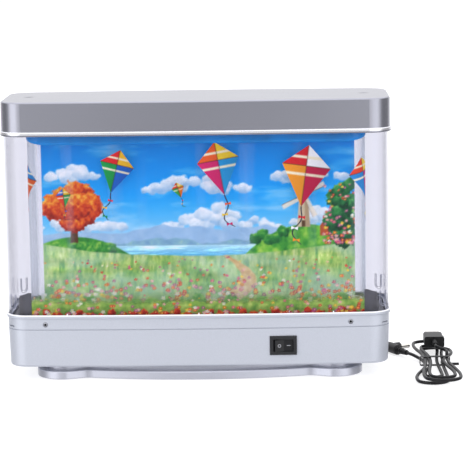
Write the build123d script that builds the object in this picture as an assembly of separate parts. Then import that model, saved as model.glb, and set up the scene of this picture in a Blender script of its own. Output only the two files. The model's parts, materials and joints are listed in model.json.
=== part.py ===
from build123d import *
import math
import os

# Moving-picture light box lamp, millimetres, +Z up, the front faces -Y.
# The origin is on the table, under the middle of the lamp.

# Outline of the moulded body, seen from above: a rounded rectangle with bowed long sides
body_half_length = 150.8
body_half_depth = 47.4
body_corner = 16.3
body_bow = 4.4

# Stand
pad_radius = 6.0
pad_thickness = 1.6
pad_proud = 0.8
pad_edge = 0.4
foot_end_inset = 21.1
foot_bulge_inset = 0.6
foot_lobe_inset = 5.8
foot_recess_inset = 12.2
foot_lobe_length = 25.0
foot_shoulder_length = 16.0
foot_end_radius = 22.0
foot_lobe_radius = 9.0
foot_recess_radius = 14.0
foot_top_height = 7.4
foot_edge_radius = 1.2
neck_height = 4.0
neck_inset = 6.5
pad_end_inset = 23.0
pad_y = 22.0
foot_screw_x = 62.0
foot_screw_y = 20.0
foot_screw_recess = 2.6
foot_screw_boss = 9.0

# Screws as head radius, head height and shank radius, and the holes they share
foot_screw = (2.8, 2.0, 1.25)
case_screw = (2.8, 2.4, 1.45)
rim_screw = (1.8, 1.0, 1.0)
lid_screw = (2.1, 1.0, 1.1)
motor_screw = (2.2, 1.4, 1.15)
thread_gap = 0.05
shank_gap = 0.25
boss_wall = 1.1
running_gap = 0.05
press_gap = 0.02

# Base
base_wall = 2.5
base_floor = 2.4
seat_depth = 0.1
base_lower_height = 29.7
base_draft = 1.8
base_edge_radius = 2.0
base_screw_end_inset = 11.1
base_screw_side_inset = 6.2
base_screw_x = 30.0
rim_screw_inset = 30.8
rim_screw_sink = 0.7
rim_screw_reach = 5.0
rim_screw_lift = 34.2
case_screw_depth = 10.0
tray_post_gap = 3.4
parting_gap = 0.8
parting_depth = 0.7
lip_depth = 2.0
lip_wall = 1.0
lip_rebate = 0.6
panel_gap = 0.2
cradle_post_radius = 2.0
rim_wall_height = 9.1
bead_height = 3.0
bead_lift = 2.2
bead_proud = 1.2
ledge_width = 4.0
ledge_height = 2.0
fit_gap = 0.3
corner_slot_length = 7.0
corner_slot_height = 1.0
corner_slot_lift = 1.5
corner_slot_angle = 50.0
corner_slot_depth = 1.6

# Dark tray that fills the mouth of the base
tray_end_gap = 8.1
tray_side_gap = 5.2
tray_corner = 12.0
tray_bow = 3.9
tray_wall = 1.6
tray_floor = 2.0
tray_flange = 2.0
tray_low_rise = 2.6
tray_front_rise = 18.9
tray_shoulder_length = 9.0
tray_shoulder_drop = 3.2
tray_shoulder_edge = 1.5
tray_ledge_drop = 2.2
rim_boss_length = 8.0
rim_boss_depth = 4.0
rim_boss_height = 5.2
socket_height = 1.5
strip_root = 2.6
strip_end_inset = 11.5
strip_thickness = 0.8

# Clear window
window_wall = 1.5
window_height = 155.2
tongue_width = 5.0
tongue_height = 12.0
tongue_slot = 0.9
tongue_lift = 6.0

# Lid
lid_wall = 1.4
lid_height = 27.0
lid_top_thickness = 2.0
plate_thickness = 2.0
lid_edge_radius = 1.6
lid_bead_height = 3.6
lid_bead_proud = 1.0
lid_screw_inset = 18.1
lid_screw_sink = 1.2
lid_post_gap = 2.2
lid_flange = 1.6
guide_wall = 1.6
guide_depth = 3.0
lid_dot_pitch = 3.0
lid_dot_radius = 0.7
lid_overlap = 12.0

# Printed film loop and its drive
film_end_gap = 10.0
film_side_gap = 6.2
film_corner = 11.5
film_thickness = 0.4
band_thickness = 0.5
band_height = 14.4
film_head_gap = 3.0
film_foot_gap = 0.6
pulley_height = 7.0
pulley_lift = 1.3
pulley_web = 1.6
hub_radius = 3.2
spoke_count = 6
shaft_radius = 1.5
shaft_edge = 0.3
axle_head_radius = 2.8
axle_head_height = 1.25
pulley_play = 0.25
gear_module = 0.65
gear_teeth = 42
pinion_teeth = 14
pressure_angle = 25.0
gear_height = 4.0
gear_clear = 1.2
backlash = 0.15
motor_radius = 14.0
motor_height = 19.0
motor_offset = 8.0
motor_gear_gap = 1.7
motor_boss_height = 1.2
motor_boss_radius = 4.2
motor_bush_depth = 5.0
motor_edge = 1.0
motor_ear_reach = 17.5
motor_ear_thickness = 1.2
motor_ear_radius = 3.0

# Light box behind the film
box_end_gap = 8.5
box_side_gap = 6.0
box_wall = 1.6
picture_thickness = 0.8
box_lift = 3.4
led_count = 5
led_pitch = 16.0
led_size = 5.0
led_height = 1.4
led_board_width = 10.0
led_board_thickness = 1.6
led_board_margin = 1.5
frame_rib_x = 45.0
frame_rib_depth = 20.0
leg_inset = 53.5
leg_length = 20.0
leg_width = 12.0

# Rocker switch
switch_x = 66.9
switch_lift = 16.0
switch_length = 21.0
switch_height = 15.0
switch_frame = 2.0
switch_body_length = 19.0
switch_body_height = 12.8
switch_body_depth = 13.0
rocker_half_length = 7.4
rocker_height = 9.0
rocker_reach = 3.2
rocker_pivot_depth = 2.6
rocker_angle = 11.0
rocker_gap = 0.3
rocker_round = 0.2
rocker_pin_radius = 1.0
rocker_dip = 1.1
rocker_heel_half = 2.4
rocker_heel_depth = 3.4
rocker_side_depth = 0.6
switch_frame_edge = 0.5
switch_well_depth = 8.4
switch_body_wall = 1.5
terminal_pitch = 9.0
terminal_width = 4.8
terminal_thickness = 0.8
terminal_length = 8.0

# Power inlet in the back wall
jack_x = 92.0
jack_lift = 15.5
jack_radius = 4.5
jack_flange_radius = 6.0
jack_bore_radius = 2.2
jack_depth = 12.0
jack_flange = 1.0
jack_bore_depth = 10.0
jack_pin_radius = 0.8
jack_pin_length = 8.5

# Unplugged lead, lying beside the lamp
cord_radius = 1.35
lead_x = 189.0
waist_half_width = 8.0
waist_step = 4.0
layer_step = 3.4
tie_thickness = 0.6
tie_width = 4.0
tie_corner = 1.6
tie_twist_length = 7.8
tie_twist_width = 1.8

# Its two plugs: where the cord enters each, seen from the middle of the hank, and their sizes
plug_cord_place = (-20.8, 29.0, 4.6)
plug_cord_angle = -62.0
plug_relief_length = 13.0
plug_relief_radius = 2.9
plug_ribs = 4
plug_boot_radius = 4.3
plug_boot_length = 16.0
plug_boot_edge = 1.0
plug_elbow_reach = 24.0
plug_nose_radius = 3.9
plug_nose_length = 7.5
barrel_radius = 2.0
barrel_length = 9.0
barrel_bore_radius = 0.85
relief_radius = 2.1
relief_root = 1.5
usb_cord_place = (2.4, 26.0, 11.6)
usb_relief_length = 11.0
usb_relief_radius = 3.0
usb_ribs = 3
usb_grip_width = 15.6
usb_grip_length = 23.0
usb_grip_height = 8.0
usb_grip_corner = 1.8
usb_collar_length = 6.0
usb_collar_proud = 0.45
usb_shell_width = 12.0
usb_shell_length = 12.0
usb_shell_height = 4.5
usb_shell_wall = 0.3
usb_window = 2.2
usb_window_pitch = 5.8
usb_block_height = 1.8

# The hank's turns in the order the cable runs: half width, lean to the right, reach from the waist
hank_turns = [
    (12.2, -5.8, 62.0),
    (12.5, 4.0, 47.0),
    (6.5, -3.9, 46.0),
    (6.4, -1.8, 45.0),
    (9.8, 2.0, 60.0),
    (11.6, -2.4, 59.0),
    (14.2, 1.6, 66.0),
]

# Plan sizes that follow from the values above
foot_half_length = body_half_length - foot_end_inset
foot_half_depth = body_half_depth - foot_bulge_inset
foot_lobe_depth = body_half_depth - foot_lobe_inset
foot_recess_depth = body_half_depth - foot_recess_inset
foot_lobe_x = foot_half_length - foot_lobe_length
foot_recess_x = foot_lobe_x - foot_shoulder_length
pad_x = foot_half_length - pad_end_inset
tray_half_length = body_half_length - tray_end_gap
tray_half_depth = body_half_depth - tray_side_gap
strip_half_length = tray_half_length - strip_end_inset
film_half_length = tray_half_length - film_end_gap
film_half_depth = tray_half_depth - film_side_gap
box_half_length = film_half_length - box_end_gap
box_half_depth = film_half_depth - box_side_gap
leg_x = box_half_length - leg_inset
lid_screw_x = body_half_length - lid_screw_inset
rim_screw_x = body_half_length - rim_screw_inset
base_screw_end_x = body_half_length - base_screw_end_inset
base_screw_y = tray_half_depth - base_screw_side_inset

# Heights that follow from the values above
base_bottom = foot_top_height + neck_height
parting_z = base_bottom + base_lower_height
rim_bottom = parting_z + parting_gap
window_seat = rim_bottom + rim_wall_height
rim_top = window_seat + bead_lift
window_top = window_seat + window_height
lid_bottom = window_top - lid_overlap
lid_top = lid_bottom + lid_height
tray_base = rim_bottom
tray_top_floor = tray_base + tray_floor
switch_z = base_bottom + switch_lift
jack_z = base_bottom + jack_lift
pulley_bottom = tray_top_floor + pulley_lift
pulley_top = pulley_bottom + pulley_height
film_bottom = tray_top_floor + film_foot_gap
film_top = window_top - plate_thickness - film_head_gap
box_bottom = pulley_top + box_lift
box_top = window_top - plate_thickness - fit_gap
roller_x = film_half_length - film_corner
roller_y = film_half_depth - film_corner
pulley_radius = film_corner - film_thickness - fit_gap


def rounded_outline(half_length, half_depth, corner, bow):
    side = half_depth - bow
    front = ThreePointArc((-half_length, -side), (0, -half_depth), (half_length, -side))
    right = Line((half_length, -side), (half_length, side))
    back = ThreePointArc((half_length, side), (0, half_depth), (-half_length, side))
    left = Line((-half_length, side), (-half_length, -side))
    face = make_face([front, right, back, left])
    return fillet(face.vertices(), corner)


def body_outline(inset):
    return rounded_outline(body_half_length - inset, body_half_depth - inset, body_corner - inset, body_bow)


def tray_outline(inset):
    return rounded_outline(tray_half_length - inset, tray_half_depth - inset, tray_corner - inset, tray_bow)


def film_outline(inset):
    length = 2 * (film_half_length - inset)
    return RectangleRounded(length, 2 * (film_half_depth - inset), film_corner - inset)


def slab(profile, low, high):
    return Pos(0, 0, low) * extrude(profile, high - low)


def pillar(x, y, radius, low, high):
    return Pos(x, y, low) * extrude(Circle(radius), high - low)


def block(x, y, z, length, width, height):
    return Pos(x, y, z) * Box(length, width, height)


def four_corners(x, y):
    return [(-x, -y), (x, -y), (x, y), (-x, y)]


def body_front_at(x):
    return -body_half_depth + body_bow * (x / body_half_length) ** 2


base_screws = [(-base_screw_end_x, 0), (base_screw_end_x, 0), *four_corners(base_screw_x, base_screw_y)]
screw_deck = parting_z - tray_post_gap
screw_head_seat = base_bottom + case_screw_depth


def foot_outline(inset):
    end = foot_half_length - inset
    bulge = foot_half_depth - inset
    lobe = foot_lobe_depth - inset
    dip = foot_recess_depth - inset
    front = ThreePointArc((-foot_recess_x, -dip), (0, -bulge), (foot_recess_x, -dip))
    right = Polyline((foot_recess_x, -dip), (foot_lobe_x, -lobe), (end, -lobe), (end, lobe),
                     (foot_lobe_x, lobe), (foot_recess_x, dip))
    back = ThreePointArc((foot_recess_x, dip), (0, bulge), (-foot_recess_x, dip))
    left = Polyline((-foot_recess_x, dip), (-foot_lobe_x, lobe), (-end, lobe), (-end, -lobe),
                    (-foot_lobe_x, -lobe), (-foot_recess_x, -dip))
    face = make_face([front, right, back, left])
    face = fillet([v for v in face.vertices() if abs(v.X) > end - 1], foot_end_radius - inset)
    face = fillet([v for v in face.vertices() if abs(abs(v.X) - foot_lobe_x) < 0.1], foot_lobe_radius)
    return fillet([v for v in face.vertices() if abs(abs(v.X) - foot_recess_x) < 0.1], foot_recess_radius)


def foot_stand():
    low = pad_proud
    plate = slab(foot_outline(0), low, foot_top_height)
    rims = plate.edges().group_by(Axis.Z)
    plate = chamfer(fillet(rims[-1], foot_edge_radius).edges().group_by(Axis.Z)[0], foot_edge_radius / 2)
    solid = plate + slab(foot_outline(neck_inset), foot_top_height, base_bottom)
    for x, y in four_corners(pad_x, pad_y):
        solid -= pillar(x, y, pad_radius + panel_gap, low - 1, low + pad_thickness - pad_proud)
    for x, y in four_corners(foot_screw_x, foot_screw_y):
        solid -= pillar(x, y, foot_screw[2] + shank_gap, low - 1, base_bottom + 1)
        solid -= pillar(x, y, foot_screw[0] + fit_gap, low - 1, low + foot_screw_recess)
    return solid


def foot_pads():
    pads = [pillar(x, y, pad_radius, 0, pad_thickness) for x, y in four_corners(pad_x, pad_y)]
    return Compound(children=[chamfer(pad.edges().group_by(Axis.Z)[0], pad_edge) for pad in pads])


def pan_screw(x, y, seat, reach, screw, up=1):
    head_radius, head_height, shank_radius = screw
    head_low = seat - head_height if up > 0 else seat
    head = pillar(x, y, head_radius, head_low, head_low + head_height)
    outer = head.edges().group_by(Axis.Z)[0 if up > 0 else -1]
    head = chamfer(outer, head_height * 0.35)
    low, high = sorted((seat, seat + up * reach))
    return head + pillar(x, y, shank_radius, low, high)


def foot_screws():
    seat = pad_proud + foot_screw_recess
    reach = base_bottom + foot_screw_boss - 2 - seat
    screws = [pan_screw(x, y, seat, reach, foot_screw) for x, y in four_corners(foot_screw_x, foot_screw_y)]
    return Compound(children=screws)


def base_lower_shell():
    outer = Pos(0, 0, parting_z) * extrude(body_outline(0), -base_lower_height, taper=base_draft)
    outer = fillet(outer.edges().group_by(Axis.Z)[0], base_edge_radius)
    floor_top = base_bottom + base_floor
    shell = outer - slab(body_outline(lip_inset()), floor_top, parting_z + 1)
    well = case_screw[0] + fit_gap
    for x, y in base_screws:
        shell += pillar(x, y, well + boss_wall, floor_top - 0.5, screw_deck)
    for x, y in base_screws:
        shell -= pillar(x, y, well, base_bottom - 1, screw_head_seat)
        shell -= pillar(x, y, case_screw[2] + shank_gap, screw_head_seat - 1, screw_deck + 1)
    boss_top = base_bottom + foot_screw_boss
    for x, y in four_corners(foot_screw_x, foot_screw_y):
        shell += pillar(x, y, foot_screw[2] + 2 * boss_wall, floor_top - 0.5, boss_top)
        shell -= pillar(x, y, foot_screw[2] + thread_gap, base_bottom - 1, boss_top - 1)
    face_y = switch_face()
    shell -= block(switch_x, face_y - 3, switch_z, switch_length + 2 * fit_gap, 6,
                   switch_height + 2 * fit_gap)
    shell -= block(switch_x, face_y, switch_z, switch_body_length + 2 * panel_gap, 20,
                   switch_body_height + 2 * panel_gap)
    shell -= Pos(0, jack_face() + 3, 0) * jack_disc(jack_flange_radius + panel_gap, 6)
    shell -= Pos(0, jack_face(), 0) * jack_disc(jack_radius + panel_gap / 2, 20)
    for x, y in cradle_posts():
        shell += pillar(x, y, cradle_post_radius, floor_top - 0.5, motor_low() - fit_gap)
    return shell


def lip_inset():
    # inner face of the lower wall, which is thinned at the top to take the rim's lip
    return base_wall + lip_rebate


def jack_disc(radius, length):
    return Pos(jack_x, 0, jack_z) * Rot(90, 0, 0) * Cylinder(radius, length)


def wall_face(x, z):
    # how far the drafted front wall stands back from the origin, at its far end x and low edge z
    return -body_front_at(x) - (parting_z - z) * math.tan(math.radians(base_draft)) - seat_depth


def switch_face():
    return -wall_face(switch_x + switch_length / 2, switch_z - switch_height / 2)


def jack_face():
    return wall_face(jack_x + jack_flange_radius, jack_z - jack_flange_radius)


def motor_face():
    return gear_low() - motor_gear_gap


def motor_low():
    return motor_face() - motor_height


def gear_low():
    return tray_base - gear_clear - gear_height


def pinion_place():
    spacing = gear_module * (gear_teeth + pinion_teeth) / 2
    return -roller_x + spacing, roller_y


def motor_place():
    x, y = pinion_place()
    return x + motor_offset, y


def cradle_posts():
    x, y = motor_place()
    return [(x + 8, y - 6), (x - 6, y - 6), (x + 1, y + 8)]


def ear_places():
    x, y = motor_place()
    reach = motor_ear_reach / math.sqrt(2)
    return [(x - reach, y + reach), (x + reach, y - reach)]


def base_upper_rim():
    wall = slab(body_outline(0), rim_bottom, window_seat)
    wall -= slab(body_outline(base_wall), rim_bottom - 1, window_seat + 1)
    joint = slab(body_outline(parting_depth), parting_z, rim_bottom)
    joint -= slab(body_outline(base_wall), parting_z - 1, rim_bottom + 1)
    bead = slab(body_outline(-bead_proud), rim_top - bead_height, rim_top)
    rims = bead.edges().group_by(Axis.Z)
    bead = fillet(rims[0] + rims[-1], bead_height * 0.36)
    bead -= slab(body_outline(base_wall), rim_top - bead_height - 1, rim_top + 1)
    bead -= slab(body_outline(0.1), window_seat, rim_top + 1)
    lip_outer = lip_inset() + fit_gap
    lip = slab(body_outline(lip_outer), parting_z - lip_depth, rim_bottom)
    lip += slab(body_outline(base_wall - 0.5), parting_z, rim_bottom + lip_wall)
    lip -= slab(body_outline(lip_outer + lip_wall), parting_z - lip_depth - 1, rim_bottom + 2)
    rim = wall + joint + bead + lip
    for slot in corner_slots():
        rim -= slot
    head_radius, head_height, shank_radius = rim_screw
    for x, y in rim_screw_places():
        centre = Pos(x, y, rim_screw_z()) * Rot(90, 0, 0)
        rim -= centre * Cylinder(shank_radius + thread_gap, 12)
        outward = math.copysign(1, y)
        sunk = Pos(0, outward * (2 - rim_screw_sink), 0)
        rim -= sunk * centre * Cylinder(head_radius + panel_gap, 4)
    return rim


def corner_slots():
    # pry slots in the rim's four corners, just above the parting groove
    middle_z = rim_bottom + corner_slot_lift + corner_slot_height / 2
    reach = body_corner - corner_slot_depth
    ahead = math.cos(math.radians(corner_slot_angle))
    aside = math.sin(math.radians(corner_slot_angle))
    cuts = []
    for x, y in four_corners(body_half_length - body_corner, body_half_depth - body_bow - body_corner):
        bearing = math.degrees(math.atan2(math.copysign(ahead, y), math.copysign(aside, x)))
        slot = Box(10, corner_slot_length, corner_slot_height, align=(Align.MIN, Align.CENTER, Align.CENTER))
        cuts.append(Pos(x, y, middle_z) * Rot(0, 0, bearing) * Pos(reach, 0, 0) * slot)
    return cuts


def rim_screw_z():
    return base_bottom + rim_screw_lift


def rim_screw_places():
    return four_corners(rim_screw_x, -body_front_at(rim_screw_x))


def rim_screws():
    head_radius, head_height, shank_radius = rim_screw
    screws = []
    for x, y in rim_screw_places():
        bearing = Rot(90, 0, 0) if y < 0 else Rot(-90, 0, 0)
        seat = Pos(x, y - math.copysign(rim_screw_sink, y), rim_screw_z()) * bearing
        head = extrude(Circle(head_radius), head_height)
        screws.append(seat * (head + extrude(Circle(shank_radius), -rim_screw_reach)))
    return Compound(children=screws)


def film_tray():
    ledge_top = window_seat - tray_ledge_drop
    flange = slab(body_outline(base_wall + fit_gap), ledge_top - tray_flange, ledge_top)
    wall = slab(tray_outline(0), tray_base, window_seat + tray_front_rise)
    solid = flange + wall
    solid -= slab(tray_outline(tray_wall), tray_top_floor, window_seat + tray_front_rise + 1)
    low = window_seat + tray_low_rise
    above = window_seat + tray_front_rise + 2
    back = tray_half_depth + 5
    front = tray_half_depth - tray_bow - tray_corner
    solid -= block(0, (back - front) / 2, (low + above) / 2, 2 * body_half_length, back + front, above - low)
    mouth = low - strip_root
    solid -= block(0, -tray_half_depth, (mouth + above) / 2, 2 * strip_half_length, 20, above - mouth)
    shoulder_x = tray_half_length - tray_shoulder_length
    top = window_seat + tray_front_rise
    for side in (-1, 1):
        edge_x = side * (tray_half_length - tray_shoulder_edge)
        foot_x = side * (tray_half_length + tray_shoulder_edge / 2)
        past_x = side * (tray_half_length + 2 * tray_shoulder_length)
        corner = [(side * shoulder_x, top), (edge_x, top - tray_shoulder_drop), (foot_x, low), (past_x, low),
                  (past_x, above), (side * shoulder_x, above)]
        cut = Plane.XZ * make_face(Polyline(*corner, close=True))
        solid -= extrude(cut, 2 * tray_half_depth, both=True)
    blind = tray_top_floor - 0.6
    for x, y in base_screws:
        solid += pillar(x, y, case_screw[2] + 2 * boss_wall, screw_deck, tray_base + 0.5)
    for x, y in base_screws:
        solid -= pillar(x, y, case_screw[2] + thread_gap, screw_deck - 1, blind)
    for x, y in ear_places():
        solid += pillar(x, y, motor_ear_radius, motor_face() + motor_ear_thickness, tray_base + 0.5)
        solid -= pillar(x, y, motor_screw[2] + thread_gap, motor_face(), blind)
    for x, y in four_corners(roller_x, roller_y):
        driven = (x, y) == (-roller_x, roller_y)
        solid += pillar(x, y, 2 * shaft_radius, tray_top_floor - 0.5, pulley_bottom - panel_gap)
        bore = shaft_radius + (running_gap if driven else press_gap)
        solid -= pillar(x, y, bore, tray_base - 1, pulley_bottom + 1)
    for x, y in rim_screw_places():
        inner = y - math.copysign(base_wall + fit_gap + rim_boss_depth / 2, y)
        middle = ledge_top - rim_boss_height / 2
        solid += block(x, inner, middle, rim_boss_length, rim_boss_depth, rim_boss_height)
        solid -= Pos(x, y, rim_screw_z()) * Rot(90, 0, 0) * Cylinder(rim_screw[2] + press_gap, 16)
    for x in (-leg_x, leg_x):
        rib = 2 * (fit_gap + tray_wall)
        middle = tray_top_floor + socket_height / 2
        solid += block(x, 0, middle, leg_length + rib, leg_width + rib, socket_height)
        solid -= block(x, 0, tray_top_floor + 1, leg_length + 2 * panel_gap, leg_width + 2 * panel_gap, 2)
    return solid


def base_screw_set():
    reach = tray_top_floor - 1.2 - screw_head_seat
    return Compound(children=[pan_screw(x, y, screw_head_seat, reach, case_screw) for x, y in base_screws])


def meadow_strip():
    low = window_seat + tray_low_rise - strip_root
    high = window_seat + tray_front_rise
    mid = (tray_wall - strip_thickness) / 2
    sheet = slab(tray_outline(mid), low, high) - slab(tray_outline(mid + strip_thickness), low - 1, high + 1)
    length = 2 * (strip_half_length - panel_gap / 2)
    keep = block(0, -tray_half_depth, (low + high) / 2, length, 20, high - low + 1)
    return sheet & keep


def tongue_outline(width, height, base):
    half = width / 2
    arc = ThreePointArc((-half, base + half), (0, base), (half, base + half))
    sides = Polyline((half, base + half), (half, base + height), (-half, base + height), (-half, base + half))
    return make_face([arc, sides])


def clear_window():
    outer = slab(body_outline(fit_gap), window_seat, window_top)
    shell = outer - slab(body_outline(fit_gap + window_wall), window_seat - 1, window_top + 1)
    low = window_seat + tongue_lift
    for side_x in (-1, 1):
        for side_y in (-1, 1):
            angle = math.degrees(math.atan2(side_y, side_x))
            x = side_x * (body_half_length - body_corner)
            y = side_y * (body_half_depth - body_bow - body_corner)
            slot = tongue_outline(tongue_width + 2 * tongue_slot, tongue_height, low)
            slot -= tongue_outline(tongue_width, tongue_height + 2, low + tongue_slot)
            cut = extrude(Plane.XZ * slot, -2 * body_corner)
            shell -= Pos(x, y, 0) * Rot(0, 0, angle - 90) * cut
    return shell


def lid_cover():
    outer = slab(body_outline(-lid_wall), lid_bottom, lid_top)
    outer = fillet(outer.edges().group_by(Axis.Z)[-1], lid_edge_radius)
    bead = slab(body_outline(-lid_wall - lid_bead_proud), lid_bottom, lid_bottom + lid_bead_height)
    rims = bead.edges().group_by(Axis.Z)
    bead = fillet(rims[0] + rims[-1], lid_bead_proud * 0.95)
    shell = outer + bead
    shell -= slab(body_outline(0), lid_bottom - 1, lid_top - lid_top_thickness)
    head_radius, head_height, shank_radius = lid_screw
    for x in (-lid_screw_x, lid_screw_x):
        shell += pillar(x, 0, head_radius + fit_gap + boss_wall, window_top + lid_post_gap, lid_top - 0.5)
        shell -= pillar(x, 0, head_radius + fit_gap, lid_screw_seat(), lid_top + 1)
        shell -= pillar(x, 0, shank_radius + shank_gap, window_top, lid_top + 1)
        for dot in (-lid_dot_pitch, lid_dot_pitch):
            shell -= pillar(x + dot, 0, lid_dot_radius, lid_top - lid_dot_radius, lid_top + 1)
    return shell


def lid_screw_seat():
    return lid_top - lid_screw_sink


def lid_screws():
    reach = lid_screw_seat() - window_top + 1.0
    places = (-lid_screw_x, lid_screw_x)
    return Compound(children=[pan_screw(x, 0, lid_screw_seat(), reach, lid_screw, up=-1) for x in places])


def lid_inner_plate():
    plate_low = window_top - plate_thickness
    plate = slab(body_outline(fit_gap + window_wall + fit_gap), plate_low, window_top)
    flange = slab(body_outline(fit_gap), window_top, window_top + lid_flange)
    guide_low = film_top - guide_depth
    guide = slab(film_outline(film_thickness + fit_gap), guide_low, plate_low + 0.5)
    guide -= slab(film_outline(film_thickness + fit_gap + guide_wall), guide_low - 1, plate_low)
    solid = plate + flange + guide
    for x in (-lid_screw_x, lid_screw_x):
        solid += pillar(x, 0, lid_screw[2] + 2 * boss_wall, window_top + 1, window_top + lid_post_gap)
        solid -= pillar(x, 0, lid_screw[2] + thread_gap, plate_low - 1, window_top + 4)
    return solid


def film_loop():
    outer = slab(film_outline(0), film_bottom, film_top)
    return outer - slab(film_outline(film_thickness), film_bottom - 1, film_top + 1)


def header_band():
    outer = slab(film_outline(-band_thickness - running_gap), film_top - band_height, film_top)
    return outer - slab(film_outline(-running_gap), film_top - band_height - 1, film_top + 1)


def pulley(x, y, bore):
    rim = pillar(x, y, pulley_radius, pulley_bottom, pulley_top)
    hollow = pillar(x, y, pulley_radius - pulley_web, pulley_bottom + pulley_web, pulley_top + 1)
    solid = rim - hollow + pillar(x, y, hub_radius, pulley_bottom, pulley_top)
    spoke_radius = (pulley_radius - pulley_web + hub_radius) / 2
    hole_radius = (pulley_radius - pulley_web - hub_radius) / 2 - 0.6
    for spoke in range(spoke_count):
        turn = Pos(x, y, 0) * Rot(0, 0, 360 / spoke_count * spoke)
        solid -= turn * pillar(spoke_radius, 0, hole_radius, pulley_bottom - 1, pulley_bottom + 3)
    return solid - pillar(x, y, bore, pulley_bottom - 1, pulley_top + 1)


def idler_axles():
    pins = []
    for x, y in four_corners(roller_x, roller_y)[:3]:
        head_low = pulley_top + pulley_play
        pin = pillar(x, y, shaft_radius, tray_base + panel_gap, head_low)
        head = pillar(x, y, axle_head_radius, head_low, head_low + axle_head_height)
        pins.append(pin + chamfer(head.edges().group_by(Axis.Z)[-1], axle_head_height / 3))
    return Compound(children=pins)


def drive_shaft():
    shaft = pillar(-roller_x, roller_y, shaft_radius, gear_low() - 0.6, pulley_top + 0.4)
    return chamfer(shaft.edges().group_by(Axis.Z)[-1], shaft_edge)


def involute_point(base_radius, radius, start_angle, hand):
    roll = math.sqrt(max((radius / base_radius) ** 2 - 1, 0))
    angle = start_angle + hand * (roll - math.atan(roll))
    return radius * math.cos(angle), radius * math.sin(angle)


def gear_profile(teeth, phase):
    pitch_radius = gear_module * teeth / 2
    base_radius = pitch_radius * math.cos(math.radians(pressure_angle))
    tip_radius = pitch_radius + gear_module
    root_radius = pitch_radius - 1.25 * gear_module
    low_radius = max(base_radius, root_radius + 0.02)
    flank = [low_radius, (low_radius + tip_radius) / 2, tip_radius]
    pressure = math.radians(pressure_angle)
    half_tooth = math.pi / (2 * teeth) - backlash / (2 * pitch_radius)
    start = half_tooth + math.tan(pressure) - pressure
    edges = []
    ends = []
    for tooth in range(teeth):
        centre = phase + tooth * 2 * math.pi / teeth
        rising = [involute_point(base_radius, radius, centre - start, 1) for radius in flank]
        falling = [involute_point(base_radius, radius, centre + start, -1) for radius in reversed(flank)]
        foot_left = math.atan2(rising[0][1], rising[0][0])
        foot_right = math.atan2(falling[2][1], falling[2][0])
        root_left = (root_radius * math.cos(foot_left), root_radius * math.sin(foot_left))
        root_right = (root_radius * math.cos(foot_right), root_radius * math.sin(foot_right))
        edges.append(Line(root_left, rising[0]))
        edges.append(ThreePointArc(*rising))
        edges.append(Line(rising[2], falling[0]))
        edges.append(ThreePointArc(*falling))
        edges.append(Line(falling[2], root_right))
        ends.append((root_left, root_right))
    for tooth in range(teeth):
        edges.append(Line(ends[tooth][1], ends[(tooth + 1) % teeth][0]))
    return make_face(edges)


def drive_gear():
    wheel = Pos(-roller_x, roller_y, gear_low()) * extrude(gear_profile(gear_teeth, 0), gear_height)
    hub_top = gear_low() + gear_height + gear_clear / 2
    hub = pillar(-roller_x, roller_y, hub_radius, gear_low() - running_gap, hub_top)
    web = gear_module * gear_teeth / 2 - 2 * gear_module - hub_radius
    for spoke in range(spoke_count):
        turn = Pos(-roller_x, roller_y, 0) * Rot(0, 0, 360 / spoke_count * spoke)
        wheel -= turn * pillar(hub_radius + web / 2, 0, web / 2 - 1.4, gear_low() - 1, tray_base)
    return wheel + hub - pillar(-roller_x, roller_y, shaft_radius + press_gap, gear_low() - 2, tray_base)


def motor_pinion():
    x, y = pinion_place()
    phase = math.pi + math.pi / pinion_teeth
    wheel = Pos(x, y, gear_low()) * extrude(gear_profile(pinion_teeth, phase), gear_height)
    return wheel - pillar(x, y, shaft_radius + press_gap, gear_low() - 1, tray_base)


def motor_shaft():
    x, y = pinion_place()
    shaft = pillar(x, y, shaft_radius, motor_face() - motor_bush_depth + 0.4, gear_low() + gear_height)
    return chamfer(shaft.edges().group_by(Axis.Z)[-1], shaft_edge)


def gear_motor():
    x, y = motor_place()
    px, py = pinion_place()
    can = pillar(x, y, motor_radius, motor_low(), motor_face())
    can = chamfer(can.edges().group_by(Axis.Z)[0], motor_edge)
    boss = pillar(px, py, motor_boss_radius, motor_face() - 1, motor_face() + motor_boss_height)
    strap = Box(2 * motor_ear_reach, 2 * motor_ear_radius, motor_ear_thickness)
    ears = Pos(x, y, motor_face() + motor_ear_thickness / 2) * Rot(0, 0, -45) * strap
    for ex, ey in ear_places():
        ears += pillar(ex, ey, motor_ear_radius, motor_face(), motor_face() + motor_ear_thickness)
    solid = can + boss + ears
    for ex, ey in ear_places():
        solid -= pillar(ex, ey, motor_screw[2] + shank_gap, motor_face() - 1, motor_face() + 2)
    bush_low = motor_face() - motor_bush_depth
    return solid - pillar(px, py, shaft_radius + running_gap, bush_low, motor_face() + 2)


def motor_screws():
    reach = tray_base - 1.0 - motor_face()
    return Compound(children=[pan_screw(x, y, motor_face(), reach, motor_screw) for x, y in ear_places()])


def light_box_frame():
    length = 2 * box_half_length
    depth = 2 * (box_half_depth - picture_thickness)
    height = box_top - box_bottom
    middle = (box_top + box_bottom) / 2
    shell = block(0, 0, middle, length, depth, height)
    shell -= block(0, 0, middle, length - 2 * box_wall, depth + 2, height - 2 * box_wall)
    for x in (-leg_x, leg_x):
        low = tray_top_floor
        shell += block(x, 0, (low + box_bottom + 0.5) / 2, leg_length, leg_width, box_bottom + 0.5 - low)
    for x in (-frame_rib_x, frame_rib_x):
        shell += block(x, 0, middle, box_wall, frame_rib_depth, height - box_wall)
    return shell


def picture_sheet(side):
    y = side * (box_half_depth - picture_thickness / 2)
    height = box_top - box_bottom
    return block(0, y, (box_top + box_bottom) / 2, 2 * box_half_length, picture_thickness, height)


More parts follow.
